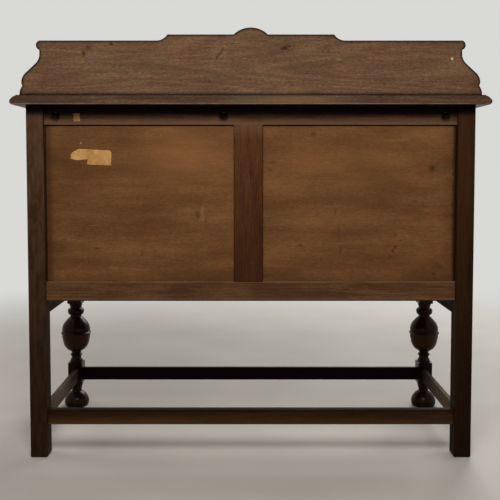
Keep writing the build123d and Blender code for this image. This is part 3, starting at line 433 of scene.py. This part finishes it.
SCRATCH = [(91, 1042), (88, 1046), (84, 1051), (80, 1056), (77, 1061)]
upstand_marks = marks(UPSTAND_BACK_MM, [
    (415, 1069, 15, 11, "#413129", 0.8, 0.85),
    (405, 1040, 15, 34, "#6c5349", 0.55, 1.0),
    (427, 1053, 7, 11, "#33241c", 0.8, 0.8),
    (357, 1076, 6, 4, "#2c1d15", 0.9, 0.6),
    (553, 1010, 15, 13, "#57502f", 0.6, 1.0),
    (-566, 975, 20, 28, "#452519", 0.45, 1.0),
    (-80, 1066, 12, 7, "#2c1c13", 0.95, 0.7),
    (-92, 1071, 8, 4, "#33221a", 0.9, 0.7),
    (-86, 1087, 11, 2.5, "#5a3a28", 0.8, 0.7),
    *[(x, z, 3.4, 5, "#33231a", 0.85, 0.9) for x, z in SCRATCH],
    (74, 1066, 3.4, 4, "#33231a", 0.7, 0.9),
    (-334, 977, 5, 3, "#3a281d", 0.7, 0.8),
    (-219, 1038, 14, 5, "#8a7561", 0.5, 0.9),
    (-506, 1040, 3.4, 3.4, "#d8b391", 0.95, 0.5),
])
upstand_oak = wood("dry_oak_upstand", "X", [(0.30, "#402c1d"), (0.5, "#694c37"), (0.70, "#8c6b4e")], rings=12,
                   shares=(0.05, 0.33, 0.22, 0.40), pores=0.35, gloss=(0.62, 0.8), polish=POLISHED,
                   spots=upstand_marks, shade=weathered, relief=0.5, specular=0.06, arris=0.95, arris_mm=14)
print("marks on the upstand:", len(upstand_marks))

# %% [markdown]
# ## The back edge of the top
# The top's back edge is the same dry oak, a little darker. Its lower arris is rubbed pale, so the dark
# outline starts 10 mm higher.

# %% Dry oak of the top
def rubbed_foot(tree, colour, at, place):
    """Pales the lower back arris of the top, where rubbing and dust have bared the wood."""
    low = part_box("top_board")[0].z
    pale_streaks = between(tree, streaks(tree, place, "X", 15, 70), 0.30, 0.60, 0.12, 0.62)
    line = between(tree, at["Z"], low + 1 * MM, low + 4.5 * MM, 1.0, 0.0)
    share = add(tree, "ShaderNodeMath", {"operation": "MULTIPLY"}, {0: line, 1: pale_streaks}).outputs[0]
    return tint(tree, colour, "#8d7b69", share)


top_marks = marks(TOP_BACK_MM, [
    (-110, 938, 200, 30, "#94704f", 0.36, 1.0),
    (22, 938, 52, 30, "#564f36", 0.50, 0.8),
    (545, 938, 70, 30, "#3a3029", 0.35, 1.0),
], deep_mm=20)
top_oak = wood("dry_oak_top", "X", [(0.30, "#35241a"), (0.5, "#543c2c"), (0.70, "#766049")], rings=12,
               shares=(0.05, 0.40, 0.20, 0.35), pores=0.4, gloss=(0.55, 0.75), polish=POLISHED,
               spots=top_marks, shade=rubbed_foot, relief=0.5, specular=0.06, arris=0.7, arris_from_mm=932)
print("patches along the top's back edge:", len(top_marks))

# %% [markdown]
# ## Rails of the back
# The back frame was stained but never polished. The shadow of the top's overhang is painted along the head of
# the top rail, and painted shade darkens its three gouged pockets for screws. The two back arrises of the
# bottom rail carry painted highlights, with painted shade under the lower one.

# %% Rail oak
POCKETS_X_MM = (-500, 75, 510)
RAIL_TOP_SHADOW_HEIGHTS = (0.887, 0.907)


def under_top(tree, colour, at, place):
    """Paints the top's shadow along the rail's head, and pales the rail towards its lower edge."""
    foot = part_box("back_top_rail")[0].z
    colour = tint(tree, colour, "#9a7d63", between(tree, at["Z"], foot, foot + 20 * MM, 0.20, 0.0))
    # Painted shadow of the top's overhang, along a border that wanders.
    cloud = streaks(tree, place, "X", 20, 120)
    loose = add(tree, "ShaderNodeMath", {"operation": "MULTIPLY_ADD"}, {0: cloud, 1: 6 * MM, 2: at["Z"]})
    return tint(tree, colour, TOP_SHADOW, between(tree, loose.outputs[0], *RAIL_TOP_SHADOW_HEIGHTS, 0.0, 0.97))


def arris_highlights_and_shade(tree, colour, at, place):
    """Paints highlights on the bottom rail's two back arrises and shade on the rounding under the lower one.
    """
    low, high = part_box("back_bottom_rail")
    pale_streaks = between(tree, streaks(tree, place, "X", 15, 60), 0.35, 0.55, 0.15, 0.50)
    # Painted highlights where the two rounded arrises catch the light.
    for level in (low.z + 5.5 * MM, high.z - 1 * MM):
        off = add(tree, "ShaderNodeMath", {"operation": "SUBTRACT"}, {0: at["Z"], 1: level}).outputs[0]
        far = add(tree, "ShaderNodeMath", {"operation": "ABSOLUTE"}, {0: off}).outputs[0]
        line = between(tree, far, 0.0, 2.2 * MM, 1.0, 0.0)
        share = add(tree, "ShaderNodeMath", {"operation": "MULTIPLY"}, {0: line, 1: pale_streaks}).outputs[0]
        colour = tint(tree, colour, "#7c6250", share)
    # Painted shade on the rounding that turns down under the lower arris.
    return tint(tree, colour, "#120a05", between(tree, at["Z"], low.z, low.z + 4 * MM, 0.8, 0.0))


RAIL_LOOK = {"rings": 10, "gloss": (0.55, 0.75), "shares": (0.06, 0.40, 0.32, 0.22), "specular": 0.06}
rail_marks = marks(RAIL_BACK_MM, [(-269, 878, 4, 3, "#1f130c", 0.8, 0.7)])
# Painted shade in the three screw pockets, reaching 45 mm into them.
rail_marks += marks(RAIL_BACK_MM, [(x, 892, 17, 15, "#1a0f08", 0.92, 0.8) for x in POCKETS_X_MM], deep_mm=45)
foot_marks = marks(RAIL_BACK_MM, [(-244, 445, 9, 3, "#2e130a", 0.7, 0.8)])
top_rail = wood("top_rail_oak", "X", [(0.30, "#321e10"), (0.5, "#4f3420"), (0.72, "#6d4d33")],
                spots=rail_marks, shade=under_top, **RAIL_LOOK)
bottom_rail = wood("bottom_rail_oak", "X", [(0.30, "#372111"), (0.5, "#573922"), (0.72, "#775437")],
                   spots=foot_marks, shade=arris_highlights_and_shade, **RAIL_LOOK)
print("marks on the back's rails:", len(rail_marks + foot_marks))

# %% [markdown]
# ## Muntin
# The muntin is the reddest piece of the back: it was cut from another board, and its grain stands upright. It
# is darker towards its foot and dusty at its head, and thin lines of painted shade lie where the panels
# enter it.

# %% Muntin oak
DARK_FOOT_HEIGHTS = (0.46, 0.80)


def darker_down(tree, colour, at, place):
    """Darkens the muntin towards its foot, paints thin lines of shade along its two sides, and dusts its
    head.
    """
    colour = tint(tree, colour, "#2b1206", between(tree, at["Z"], *DARK_FOOT_HEIGHTS, 0.55, 0.0))
    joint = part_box("back_top_rail")[0].z
    colour = tint(tree, colour, "#7d5d46", between(tree, at["Z"], joint - 45 * MM, joint, 0.0, 0.32))
    # Painted shade: thin dark lines where the muntin meets the recessed panels.
    low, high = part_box("back_muntin")
    middle, half = (low.x + high.x) / 2, (high.x - low.x) / 2
    off = add(tree, "ShaderNodeMath", {"operation": "SUBTRACT"}, {0: at["X"], 1: middle}).outputs[0]
    far = add(tree, "ShaderNodeMath", {"operation": "ABSOLUTE"}, {0: off}).outputs[0]
    return tint(tree, colour, "#180a04", between(tree, far, half - 3 * MM, half, 0.0, 0.75))


muntin = wood("muntin_oak", "Z", [(0.30, "#30170a"), (0.5, "#502f19"), (0.72, "#6e4526")], rings=9,
              gloss=(0.5, 0.7), shares=(0.05, 0.50, 0.22, 0.23), shade=darker_down, specular=0.05)
one_side, other_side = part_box("back_muntin")
print("the muntin is", round((other_side.x - one_side.x) / MM), "mm wide")

# %% [markdown]
# ## Plywood panels
# The back panels are thin birch or gaboon plywood, stained to go with the oak and faded unevenly. A rotary
# cut face veneer has a wide, cloudy figure without pores. Each panel is darker towards its foot and its outer
# end, and thin black lines of painted shade lie in the corners below the rail and beside the leg.

# %% Darker edges and painted shade on a panel
# A darker brown for a panel's foot and outer end, a near black for the painted shade in its corners.
EDGE_DARK, CORNER_SHADE = "#38220f", "#0a0402"
EDGE_DARK_REACH, EDGE_DARK_WANDER, EDGE_DARK_SHIFT = 0.04, 0.07, 0.02
CORNER_SHADE_LINE = (4.5 * MM, 1.5 * MM)


def darker_edges_and_corner_shade(node):
    """Returns the shade of one panel: where its foot and its outer end lie depends on the panel."""
    low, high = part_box(node)
    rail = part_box("back_top_rail")[0].z
    leg = min(abs(x) for x in (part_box("rear_leg_left")[1].x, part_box("rear_leg_right")[0].x))

    def shade(tree, colour, at, place):
        cloud = streaks(tree, place, "X", 60, 140, detail=3.0)
        for axis, outwards in (("X", math.copysign(1, low.x + high.x)), ("Z", -1)):
            i = AXES[axis]
            middle, border = (low[i] + high[i]) / 2, (high[i] - low[i]) / 2 + EDGE_DARK_SHIFT
            off = add(tree, "ShaderNodeMath", {"operation": "SUBTRACT"}, {0: at[axis], 1: middle}).outputs[0]
            far = add(tree, "ShaderNodeMath", {"operation": "MULTIPLY"}, {0: off, 1: outwards}).outputs[0]
            loose = add(tree, "ShaderNodeMath", {"operation": "MULTIPLY_ADD"}, {
                0: cloud, 1: EDGE_DARK_WANDER, 2: far,
            }).outputs[0]
            darkening = between(tree, loose, border - EDGE_DARK_REACH, border + EDGE_DARK_SHIFT, 0.0, 0.42)
            colour = tint(tree, colour, EDGE_DARK, darkening)
        # Painted shade: thin dark lines in the corners below the rail and beside the leg.
        below = between(tree, at["Z"], *[rail - inset for inset in CORNER_SHADE_LINE], 0.0, 0.92)
        out = add(tree, "ShaderNodeMath", {"operation": "ABSOLUTE"}, {0: at["X"]}).outputs[0]
        beside = between(tree, out, *[leg - inset for inset in CORNER_SHADE_LINE], 0.0, 0.9)
        return tint(tree, tint(tree, colour, CORNER_SHADE, below), CORNER_SHADE, beside)

    return shade


print("damp reaches in by about", round(EDGE_DARK_REACH / MM), "mm")

# %% [markdown]
# ## Marks on the panels
# Knots, drips, scratches, filled holes and wide faded patches, each at the place where it is on the real
# back, and a dark strip of painted shade beside each leg. The two panels share one look and differ in their
# marks.

# %% Plywood
left_marks = marks(PANEL_BACK_MM, [
    (-159, 851, 13, 11, "#4a2f1c", 0.6, 0.9),
    (-467, 762, 17, 17, "#3b2616", 0.7, 0.95),
    (-470, 764, 6, 6, "#2f1d10", 0.5, 0.8),
    (-52, 779, 14, 2.5, "#3d2515", 0.6, 0.8),
    (-47, 758, 10, 5, "#3f2817", 0.5, 0.9),
    (-300, 700, 150, 90, "#5b3a1f", 0.25, 1.0),
    (-150, 790, 110, 60, "#7d4f2c", 0.35, 1.0),
    # Painted shade: a dark strip beside the leg.
    (-530, 700, 12, 600, "#1c1007", 0.8, 0.6),
    (-481, 777, 10, 7, "#4a2f1c", 0.6, 0.9),
    (-209, 672, 9, 7, "#4a2f1c", 0.65, 0.9),
    (-209, 673, 3, 3, "#7b5a38", 0.6, 0.8),
    (-217, 647, 3, 20, "#4a2f1c", 0.5, 0.9),
    (-226, 600, 3, 36, "#4a2f1c", 0.55, 0.9),
    (-230, 548, 4, 22, "#4a2f1c", 0.5, 0.9),
    (-125, 562, 8, 6, "#4a2d1a", 0.65, 0.9),
    (-374, 591, 3.5, 8, "#4a2d1a", 0.6, 0.9),
    (-388, 575, 5, 4.5, "#3a2213", 0.75, 0.8),
    (-374, 557, 5, 7, "#3a2213", 0.75, 0.8),
    (-368, 548, 5, 7, "#3a2213", 0.75, 0.8),
    (-360, 532, 4, 9, "#4a2d1a", 0.45, 0.9),
    (-425, 678, 9, 3, "#4a2d1a", 0.55, 0.9),
    (-313, 660, 4, 3, "#4a2d1a", 0.4, 0.9),
    (-490, 507, 14, 11, "#4a2f1c", 0.5, 0.9),
    (-475, 487, 9, 6, "#3f1d10", 0.55, 0.9),
    (-300, 760, 170, 110, "#78512c", 0.25, 1.0),
])
right_marks = marks(PANEL_BACK_MM, [
    (445, 828, 2.8, 2.8, "#c9a06a", 0.9, 0.6),
    (238, 848, 3, 6, "#a87f55", 0.5, 0.9),
    (142, 641, 9, 20, "#45301c", 0.6, 0.95),
    (130, 647, 8, 32, "#80694a", 0.55, 0.9),
    (121, 625, 5, 20, "#4c331d", 0.45, 0.9),
    (360, 503, 22, 2.2, "#95704a", 0.5, 0.6),
    (296, 498, 26, 2.2, "#95704a", 0.4, 0.6),
    (142, 513, 5, 8, "#4c331d", 0.45, 0.9),
    (288, 539, 4, 14, "#4c331d", 0.4, 0.9),
    # Painted shade: a dark strip beside the leg.
    (531, 660, 17, 900, "#38200f", 0.5, 0.95),
    (407, 553, 9, 3.5, "#3a2210", 0.6, 0.8),
    (452, 588, 5, 6, "#4a2f19", 0.5, 0.8),
    (413, 614, 20, 3, "#8b643c", 0.4, 0.9),
    (320, 486, 45, 3, "#8f6a40", 0.35, 0.9),
    (123, 768, 16, 22, "#5d4a36", 0.4, 0.95),
    (180, 800, 190, 120, "#8e6038", 0.50, 1.0),
    (480, 800, 90, 160, "#4c321b", 0.45, 1.0),
])
PLY = [(0.26, "#4e3018"), (0.5, "#6d4829"), (0.74, "#8d623b")]
PLY_LOOK = {"rings": 5, "shares": (0.05, 0.17, 0.46, 0.32), "pores": 0.12, "gloss": (0.55, 0.72),
            "relief": 0.12, "specular": 0.06}
panel_left = wood("plywood_left", "X", PLY, spots=left_marks,
                  shade=darker_edges_and_corner_shade("back_panel_left"), **PLY_LOOK)
panel_right = wood("plywood_right", "X", PLY, spots=right_marks,
                   shade=darker_edges_and_corner_shade("back_panel_right"), **PLY_LOOK)
print("marks on the panels:", len(left_marks) + len(right_marks))

# %% [markdown]
# ## Inside the case
# The runners, shelves and drawer sides are pale softwood and thin oak that never saw stain, yellowed by age.

# %% Softwood and drawer wood
SOFT = [(0.22, "#7c5a35"), (0.5, "#a07a4c"), (0.80, "#bd9764")]
LINING = [(0.22, "#6c4f30"), (0.5, "#8d6c45"), (0.80, "#a98659")]
softwood = {axis: wood(f"aged_softwood_{axis}", axis, SOFT, rings=30, pores=0.1, gloss=(0.6, 0.8),
                       specular=0.3) for axis in AXES}
lining = {axis: wood(f"drawer_oak_{axis}", axis, LINING, rings=20, gloss=(0.55, 0.7), specular=0.3)
          for axis in AXES}
print("finishes inside the case:", len(softwood) + len(lining))

# %% [markdown]
# ## Brass and steel
# The handles and hinges are cast and rolled brass, lacquered once and now brown in patches. A metal has no
# colour under its shine, so the patina is a darker, rougher metal in a blotchy noise. The screws are plain
# steel with a skin of rust.

# %% Metals
def metal(name, bright, dull, roughness, blotch_mm):
    """An old metal: bright where it is rubbed and dull where it has tarnished."""
    material, tree, shader = new_material(name)
    space = add(tree, "ShaderNodeTexCoord").outputs["Object"]
    cloud = add(tree, "ShaderNodeTexNoise", inputs={
        "Vector": space, "Scale": 1 / (blotch_mm * MM), "Detail": 5.0,
    }).outputs["Fac"]
    tarnish = between(tree, cloud, 0.42, 0.62)
    tree.links.new(tint(tree, paint(bright), dull, tarnish), shader.inputs["Base Color"])
    tree.links.new(between(tree, tarnish, 0.0, 1.0, *roughness), shader.inputs["Roughness"])
    dents = add(tree, "ShaderNodeBump", inputs={"Strength": 0.15, "Distance": 0.2 * MM, "Height": cloud})
    tree.links.new(dents.outputs["Normal"], shader.inputs["Normal"])
    shader.inputs["Metallic"].default_value = 1.0
    return material


brass = metal("aged_brass", "#b08a4a", "#5b4220", (0.28, 0.5), 7)
steel = metal("rusty_steel", "#3d362f", "#22160d", (0.55, 0.8), 3)
print("metals:", brass.name, "and", steel.name)

# %% [markdown]
# ## Give every board its finish
# Each node of the model keeps its mesh and takes one finish. Grain follows the length of the piece: upright
# in stiles, legs and tall panels, level in rails, and front to back in what runs that way.

# %% Assign the finishes
finishes = {
    top_oak: ["top_board", "upstand_moulding"],
    upstand_oak: ["upstand"],
    top_rail: ["back_top_rail"],
    bottom_rail: ["back_bottom_rail"],
    muntin: ["back_muntin"],
    panel_left: ["back_panel_left"],
    panel_right: ["back_panel_right"],
    turned_oak: ["front_leg_left", "front_leg_right"],
    leg_oak["Z"]: ["rear_leg_left", "rear_leg_right"],
    rear_stretcher_oak: ["rear_stretcher"],
    front_shadow_oak: ["front_stretcher"],
    side_stretcher_oak: ["side_stretcher_left", "side_stretcher_right"],
    leg_oak["Y"]: ["side_rails_left", "side_rails_right"],
    case_oak["X"]: ["front_top_rail", "front_middle_rail", "front_bottom_rail"],
    case_oak["Z"]: ["front_posts", "side_panel_left", "side_panel_right"],
    softwood["X"]: ["cupboard_floor", "shelves"],
    softwood["Y"]: ["drawer_runners_and_kickers", "shelf_bearers"],
    softwood["Z"]: ["centre_partition"],
    lining["Y"]: [],
    lining["X"]: [],
    brass: ["carcass_hinge_leaves", "catch_barrels", "catch_ball_left", "catch_ball_right"],
    steel: ["wood_screws"],
}
for side in ("left", "right"):
    finishes[case_oak["X"]] += [f"drawer_{side}_front", f"drawer_{side}_moulding", f"door_{side}_rails",
                                f"door_{side}_moulding"]
    finishes[case_oak["Z"]] += [f"door_{side}_stiles", f"door_{side}_panel"]
    finishes[lining["Y"]] += [f"drawer_{side}_box"]
    finishes[lining["X"]] += [f"drawer_{side}_bottom"]
    finishes[brass] += [f"{leaf}_{side}_{part}" for leaf in ("drawer", "door") for part in ("plate", "drop")]
    finishes[brass] += [f"door_{side}_hinge_leaves"]

left_over = set(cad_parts)
for material, names in finishes.items():
    for name in names:
        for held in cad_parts[name].material_slots:
            held.material = material
        left_over.discard(name)
print("finished nodes:", len(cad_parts) - len(left_over), "left over:", sorted(left_over))

# %% [markdown]
# ## Old paper
# Wood pulp paper yellows as it ages. It is matt, browner in clouds, and its fibres show as a fine mottle. The
# fibres are far too thin to show, so the mottle is drawn 2 mm wide. The smaller scrap lies higher, in the
# shadow of the top, which is painted on it as a darker brown towards its head.

# %% Aged paper
TOP_SHADOW_FROM, TOP_SHADOW_DARKEST_AT = 0.868, 0.898


def paper_material():
    """Matt paper, yellowed by age, browner in clouds, with painted shadow higher up."""
    material, tree, shader = new_material("aged_paper")
    space = add(tree, "ShaderNodeTexCoord").outputs["Object"]
    cloud = add(tree, "ShaderNodeTexNoise", inputs={"Vector": space, "Scale": 40.0, "Detail": 5.0})
    colour = grade(tree, cloud.outputs["Fac"], [(0.3, "#a2703a"), (0.5, "#be8c50"), (0.72, "#d0a266")])
    fibre = add(tree, "ShaderNodeTexNoise", inputs={
        "Vector": space, "Scale": 500.0, "Detail": 3.0,
    }).outputs["Fac"]
    colour = tint(tree, colour, "#8a5c2c", between(tree, fibre, 0.55, 0.75, 0.0, 0.35))
    height = add(tree, "ShaderNodeSeparateXYZ", inputs={"Vector": space}).outputs["Z"]
    # Painted shadow of the top, darker higher up on the small scrap.
    colour = tint(tree, colour, "#54402a", between(tree, height, TOP_SHADOW_FROM, TOP_SHADOW_DARKEST_AT, 0.0, 0.85))
    tree.links.new(colour, shader.inputs["Base Color"])
    bump = add(tree, "ShaderNodeBump", inputs={"Strength": 0.4, "Distance": 0.2 * MM, "Height": fibre})
    tree.links.new(bump.outputs["Normal"], shader.inputs["Normal"])
    shader.inputs["Roughness"].default_value = 0.85
    shader.inputs["Specular IOR Level"].default_value = 0.3
    return material


paper = paper_material()
print("paper:", paper.name)

# %% [markdown]
# ## Two torn scraps
# Two scraps are left of papers that were glued to the back and torn off: a long one on a panel and a small
# one on the top rail. Each is one thin sheet. Its outline is drawn as points, filled, cut into a fine mesh,
# and its edges are lifted a little where the glue has let go, so that they catch the light and drop a shadow.

# %% Scraps of paper
CELL_MM = 3.0
TORN_MM = 1.1
GLUE_MM = 0.12
PAPER_MM = 0.12
CURL_REACH_MM = 7


def torn_outline(corners_mm):
    """Points along a closed outline, a cell apart and ragged between the corners."""
    points = []
    for (x0, z0), (x1, z1) in zip(corners_mm, corners_mm[1:] + corners_mm[:1]):
        steps = max(1, round(math.dist((x0, z0), (x1, z1)) / CELL_MM))
        for i in range(steps):
            x, z = x0 + (x1 - x0) * i / steps, z0 + (z1 - z0) * i / steps
            ragged = noise.noise(Vector((x, z, 0)) * 0.37) * TORN_MM * (i > 0)
            points.append((x + ragged, z + ragged))
    return points


def scrap(name, corners_mm, face_mm, finish, lift_mm=0.9):
    """A torn sheet of paper flat on a board that faces back, with its edges lifted a little."""
    mesh = bmesh.new()
    rim = [mesh.verts.new((x * MM, face_mm * MM, z * MM)) for x, z in torn_outline(corners_mm)]
    mesh.faces.new(rim)
    for i in (0, 2):
        low = min(v.co[i] for v in rim)
        high = max(v.co[i] for v in rim)
        for step in range(1, int((high - low) / (CELL_MM * MM))):
            place, normal = Vector((0, 0, 0)), Vector((0, 0, 0))
            place[i] = low + step * CELL_MM * MM
            normal[i] = 1
            bmesh.ops.bisect_plane(mesh, geom=mesh.verts[:] + mesh.edges[:] + mesh.faces[:],
                                   plane_co=place, plane_no=normal, dist=1e-6)
    edge = [v.co.copy() for v in mesh.verts if v.is_boundary]
    for v in mesh.verts:
        gap = min((v.co - e).length for e in edge) / MM
        curl = max(0.0, 1 - gap / CURL_REACH_MM) ** 2 * (0.35 + noise.noise(v.co * 60))
        v.co.y += (GLUE_MM + max(0.0, curl) * lift_mm) * MM
    data = bpy.data.meshes.new(name)
    bmesh.ops.recalc_face_normals(mesh, faces=mesh.faces[:])
    mesh.to_mesh(data)
    mesh.free()
    sheet = bpy.data.objects.new(name, data)
    scene.collection.objects.link(sheet)
    thick = sheet.modifiers.new("thickness", "SOLIDIFY")
    thick.thickness = PAPER_MM * MM
    thick.offset = 1.0
    for polygon in data.polygons:
        polygon.use_smooth = True
    data.materials.append(finish)
    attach(sheet, "carcass")
    return sheet


panel_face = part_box("back_panel_right")[1].y / MM
rail_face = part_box("back_top_rail")[1].y / MM
long_scrap = scrap("torn_paper", [
    (469.0, 784.3), (467.6, 796.0), (461.0, 802.6), (446.1, 810.3), (365.6, 805.6), (361.6, 800.0),
    (362.9, 766.4), (426.0, 769.5), (423.3, 782.3), (452.9, 780.7),
], panel_face, paper)
small_scrap = scrap("small_torn_paper", [(459.2, 901.5), (442.6, 902.0), (440.5, 880.5), (457.9, 879.7)],
                    rail_face, paper, lift_mm=0.5)
print("paper faces:", len(long_scrap.data.polygons) + len(small_scrap.data.polygons))

# %% [markdown]
# ## Floor
# The floor is plain and pale. Far from the sideboard it fades to the pale background, as a photographer's
# curved paper does, but only for what looks at it: the light that it sends back to the wood stays the same.

# %% Floor
BACKGROUND = "#d9d9d6"
FLOOR_REACH = 14.0
FADE_FROM, FADE_TO = 1.2, 3.0


def seen_directly(tree):
    """A factor of 1 for the camera, and for what polish and glass show of it."""
    rays = add(tree, "ShaderNodeLightPath")
    factor = rays.outputs["Is Camera Ray"]
    for other in ("Is Glossy Ray", "Is Transmission Ray"):
        factor = add(tree, "ShaderNodeMath", {"operation": "MAXIMUM"}, {
            0: factor, 1: rays.outputs[other],
        }).outputs[0]
    return factor


def floor_material():
    """A matt pale floor that becomes the background between two distances from the middle."""
    material, tree, shader = new_material("pale_floor")
    space = add(tree, "ShaderNodeTexCoord").outputs["Object"]
    cloud = add(tree, "ShaderNodeTexNoise", inputs={"Vector": space, "Scale": 2.5, "Detail": 4.0})
    pale = grade(tree, cloud.outputs["Fac"], [(0.3, "#b1aba1"), (0.7, "#bcb6ad")])
    tree.links.new(pale, shader.inputs["Base Color"])
    shader.inputs["Roughness"].default_value = 0.7
    away = add(tree, "ShaderNodeVectorMath", {"operation": "LENGTH"}, {0: space}).outputs["Value"]
    factor = add(tree, "ShaderNodeMath", {"operation": "MULTIPLY"}, {
        0: between(tree, away, FADE_FROM, FADE_TO), 1: seen_directly(tree),
    }).outputs[0]
    glow = add(tree, "ShaderNodeEmission", inputs={"Color": paint(BACKGROUND), "Strength": 1.0})
    blend = add(tree, "ShaderNodeMixShader", inputs={0: factor, 1: shader.outputs[0], 2: glow.outputs[0]})
    tree.links.new(blend.outputs[0], tree.nodes["Material Output"].inputs["Surface"])
    return material


floor_mesh = bmesh.new()
bmesh.ops.create_grid(floor_mesh, x_segments=8, y_segments=8, size=FLOOR_REACH)
floor_data = bpy.data.meshes.new("floor")
floor_mesh.to_mesh(floor_data)
floor_mesh.free()
floor = bpy.data.objects.new("floor", floor_data)
scene.collection.objects.link(floor)
floor_data.materials.append(floor_material())
print("the floor fades from", FADE_FROM, "to", FADE_TO, "m")

# %% [markdown]
# ## Lamps
# The deep shadow under the back edge of the top tells where the light is: high, above the camera, and nearly
# the only one. A large lamp gives a soft edge to it. Another lamp does the same for the front, which this
# camera does not see. Two weak ones stand off the ends, and the polish does not mirror them, as a glare there
# would hide the grain.

# %% Lamps
# Name, place, target, size in metres, power in watts, and whether polish mirrors it.
LAMPS = [
    ("key_lamp", (0.1, 2.0, 2.4), (0, 0.2, 0.7), 1.1, 52, True),
    ("front_lamp", (-1.2, -2.9, 2.6), (0, -0.2, 0.6), 2.0, 85, True),
    ("end_lamp", (-2.6, -0.5, 1.3), (0, -0.05, 0.55), 1.2, 16, False),
    ("end_lamp", (2.6, -0.5, 1.3), (0, -0.05, 0.55), 1.2, 16, False),
]
for name, place, target, size, power, mirrored in LAMPS:
    light = bpy.data.lights.new(name, "AREA")
    light.size = size
    light.energy = power
    holder = bpy.data.objects.new(name, light)
    holder.location = place
    holder.rotation_euler = (Vector(target) - Vector(place)).to_track_quat("-Z", "Y").to_euler()
    holder.visible_camera = False
    holder.visible_glossy = mirrored
    scene.collection.objects.link(holder)
print("lamps:", len(LAMPS), "watts in all:", sum(lamp[4] for lamp in LAMPS))

# %% [markdown]
# ## Surroundings
# A little light from all round fills the shadows. What the camera sees behind the sideboard is brighter than
# that fill, so the world has two strengths: a weak one that lights the wood, and one of 1 for whoever looks.

# %% World
FILL_STRENGTH = 0.10
world = bpy.data.worlds.new("surroundings")
scene.world = world
world.use_nodes = True
sky = world.node_tree
fill = sky.nodes["Background"]
fill.inputs["Color"].default_value = paint("#f4f2ee")
fill.inputs["Strength"].default_value = FILL_STRENGTH
shown = add(sky, "ShaderNodeBackground", inputs={"Color": paint(BACKGROUND), "Strength": 1.0})
mixed = add(sky, "ShaderNodeMixShader", inputs={
    0: seen_directly(sky), 1: fill.outputs[0], 2: shown.outputs[0],
})
sky.links.new(mixed.outputs[0], sky.nodes["World Output"].inputs["Surface"])
print("fill light:", FILL_STRENGTH)

# %% [markdown]
# ## Camera
# The camera stands a little under two metres behind the back, 0.76 m above the floor, and looks down by
# about three degrees. The shift moves the frame of the picture further down, as if it were cut from the lower
# part of a larger one. The view transform is Standard, so that a colour comes out as it was written.

# %% Camera
EYE = (0.0083, 2.1476, 0.7639)
LOOKS_DOWN_DEGREES = 2.891
camera_data = bpy.data.cameras.new("camera")
camera_data.sensor_width = 36.0
camera_data.lens = 53.42
camera_data.shift_x = 0.005
camera_data.shift_y = -0.0917
camera = bpy.data.objects.new("camera", camera_data)
camera.location = EYE
camera.rotation_euler = (math.radians(90 - LOOKS_DOWN_DEGREES), 0, math.pi)
scene.collection.objects.link(camera)
scene.camera = camera
scene.view_settings.view_transform = "Standard"
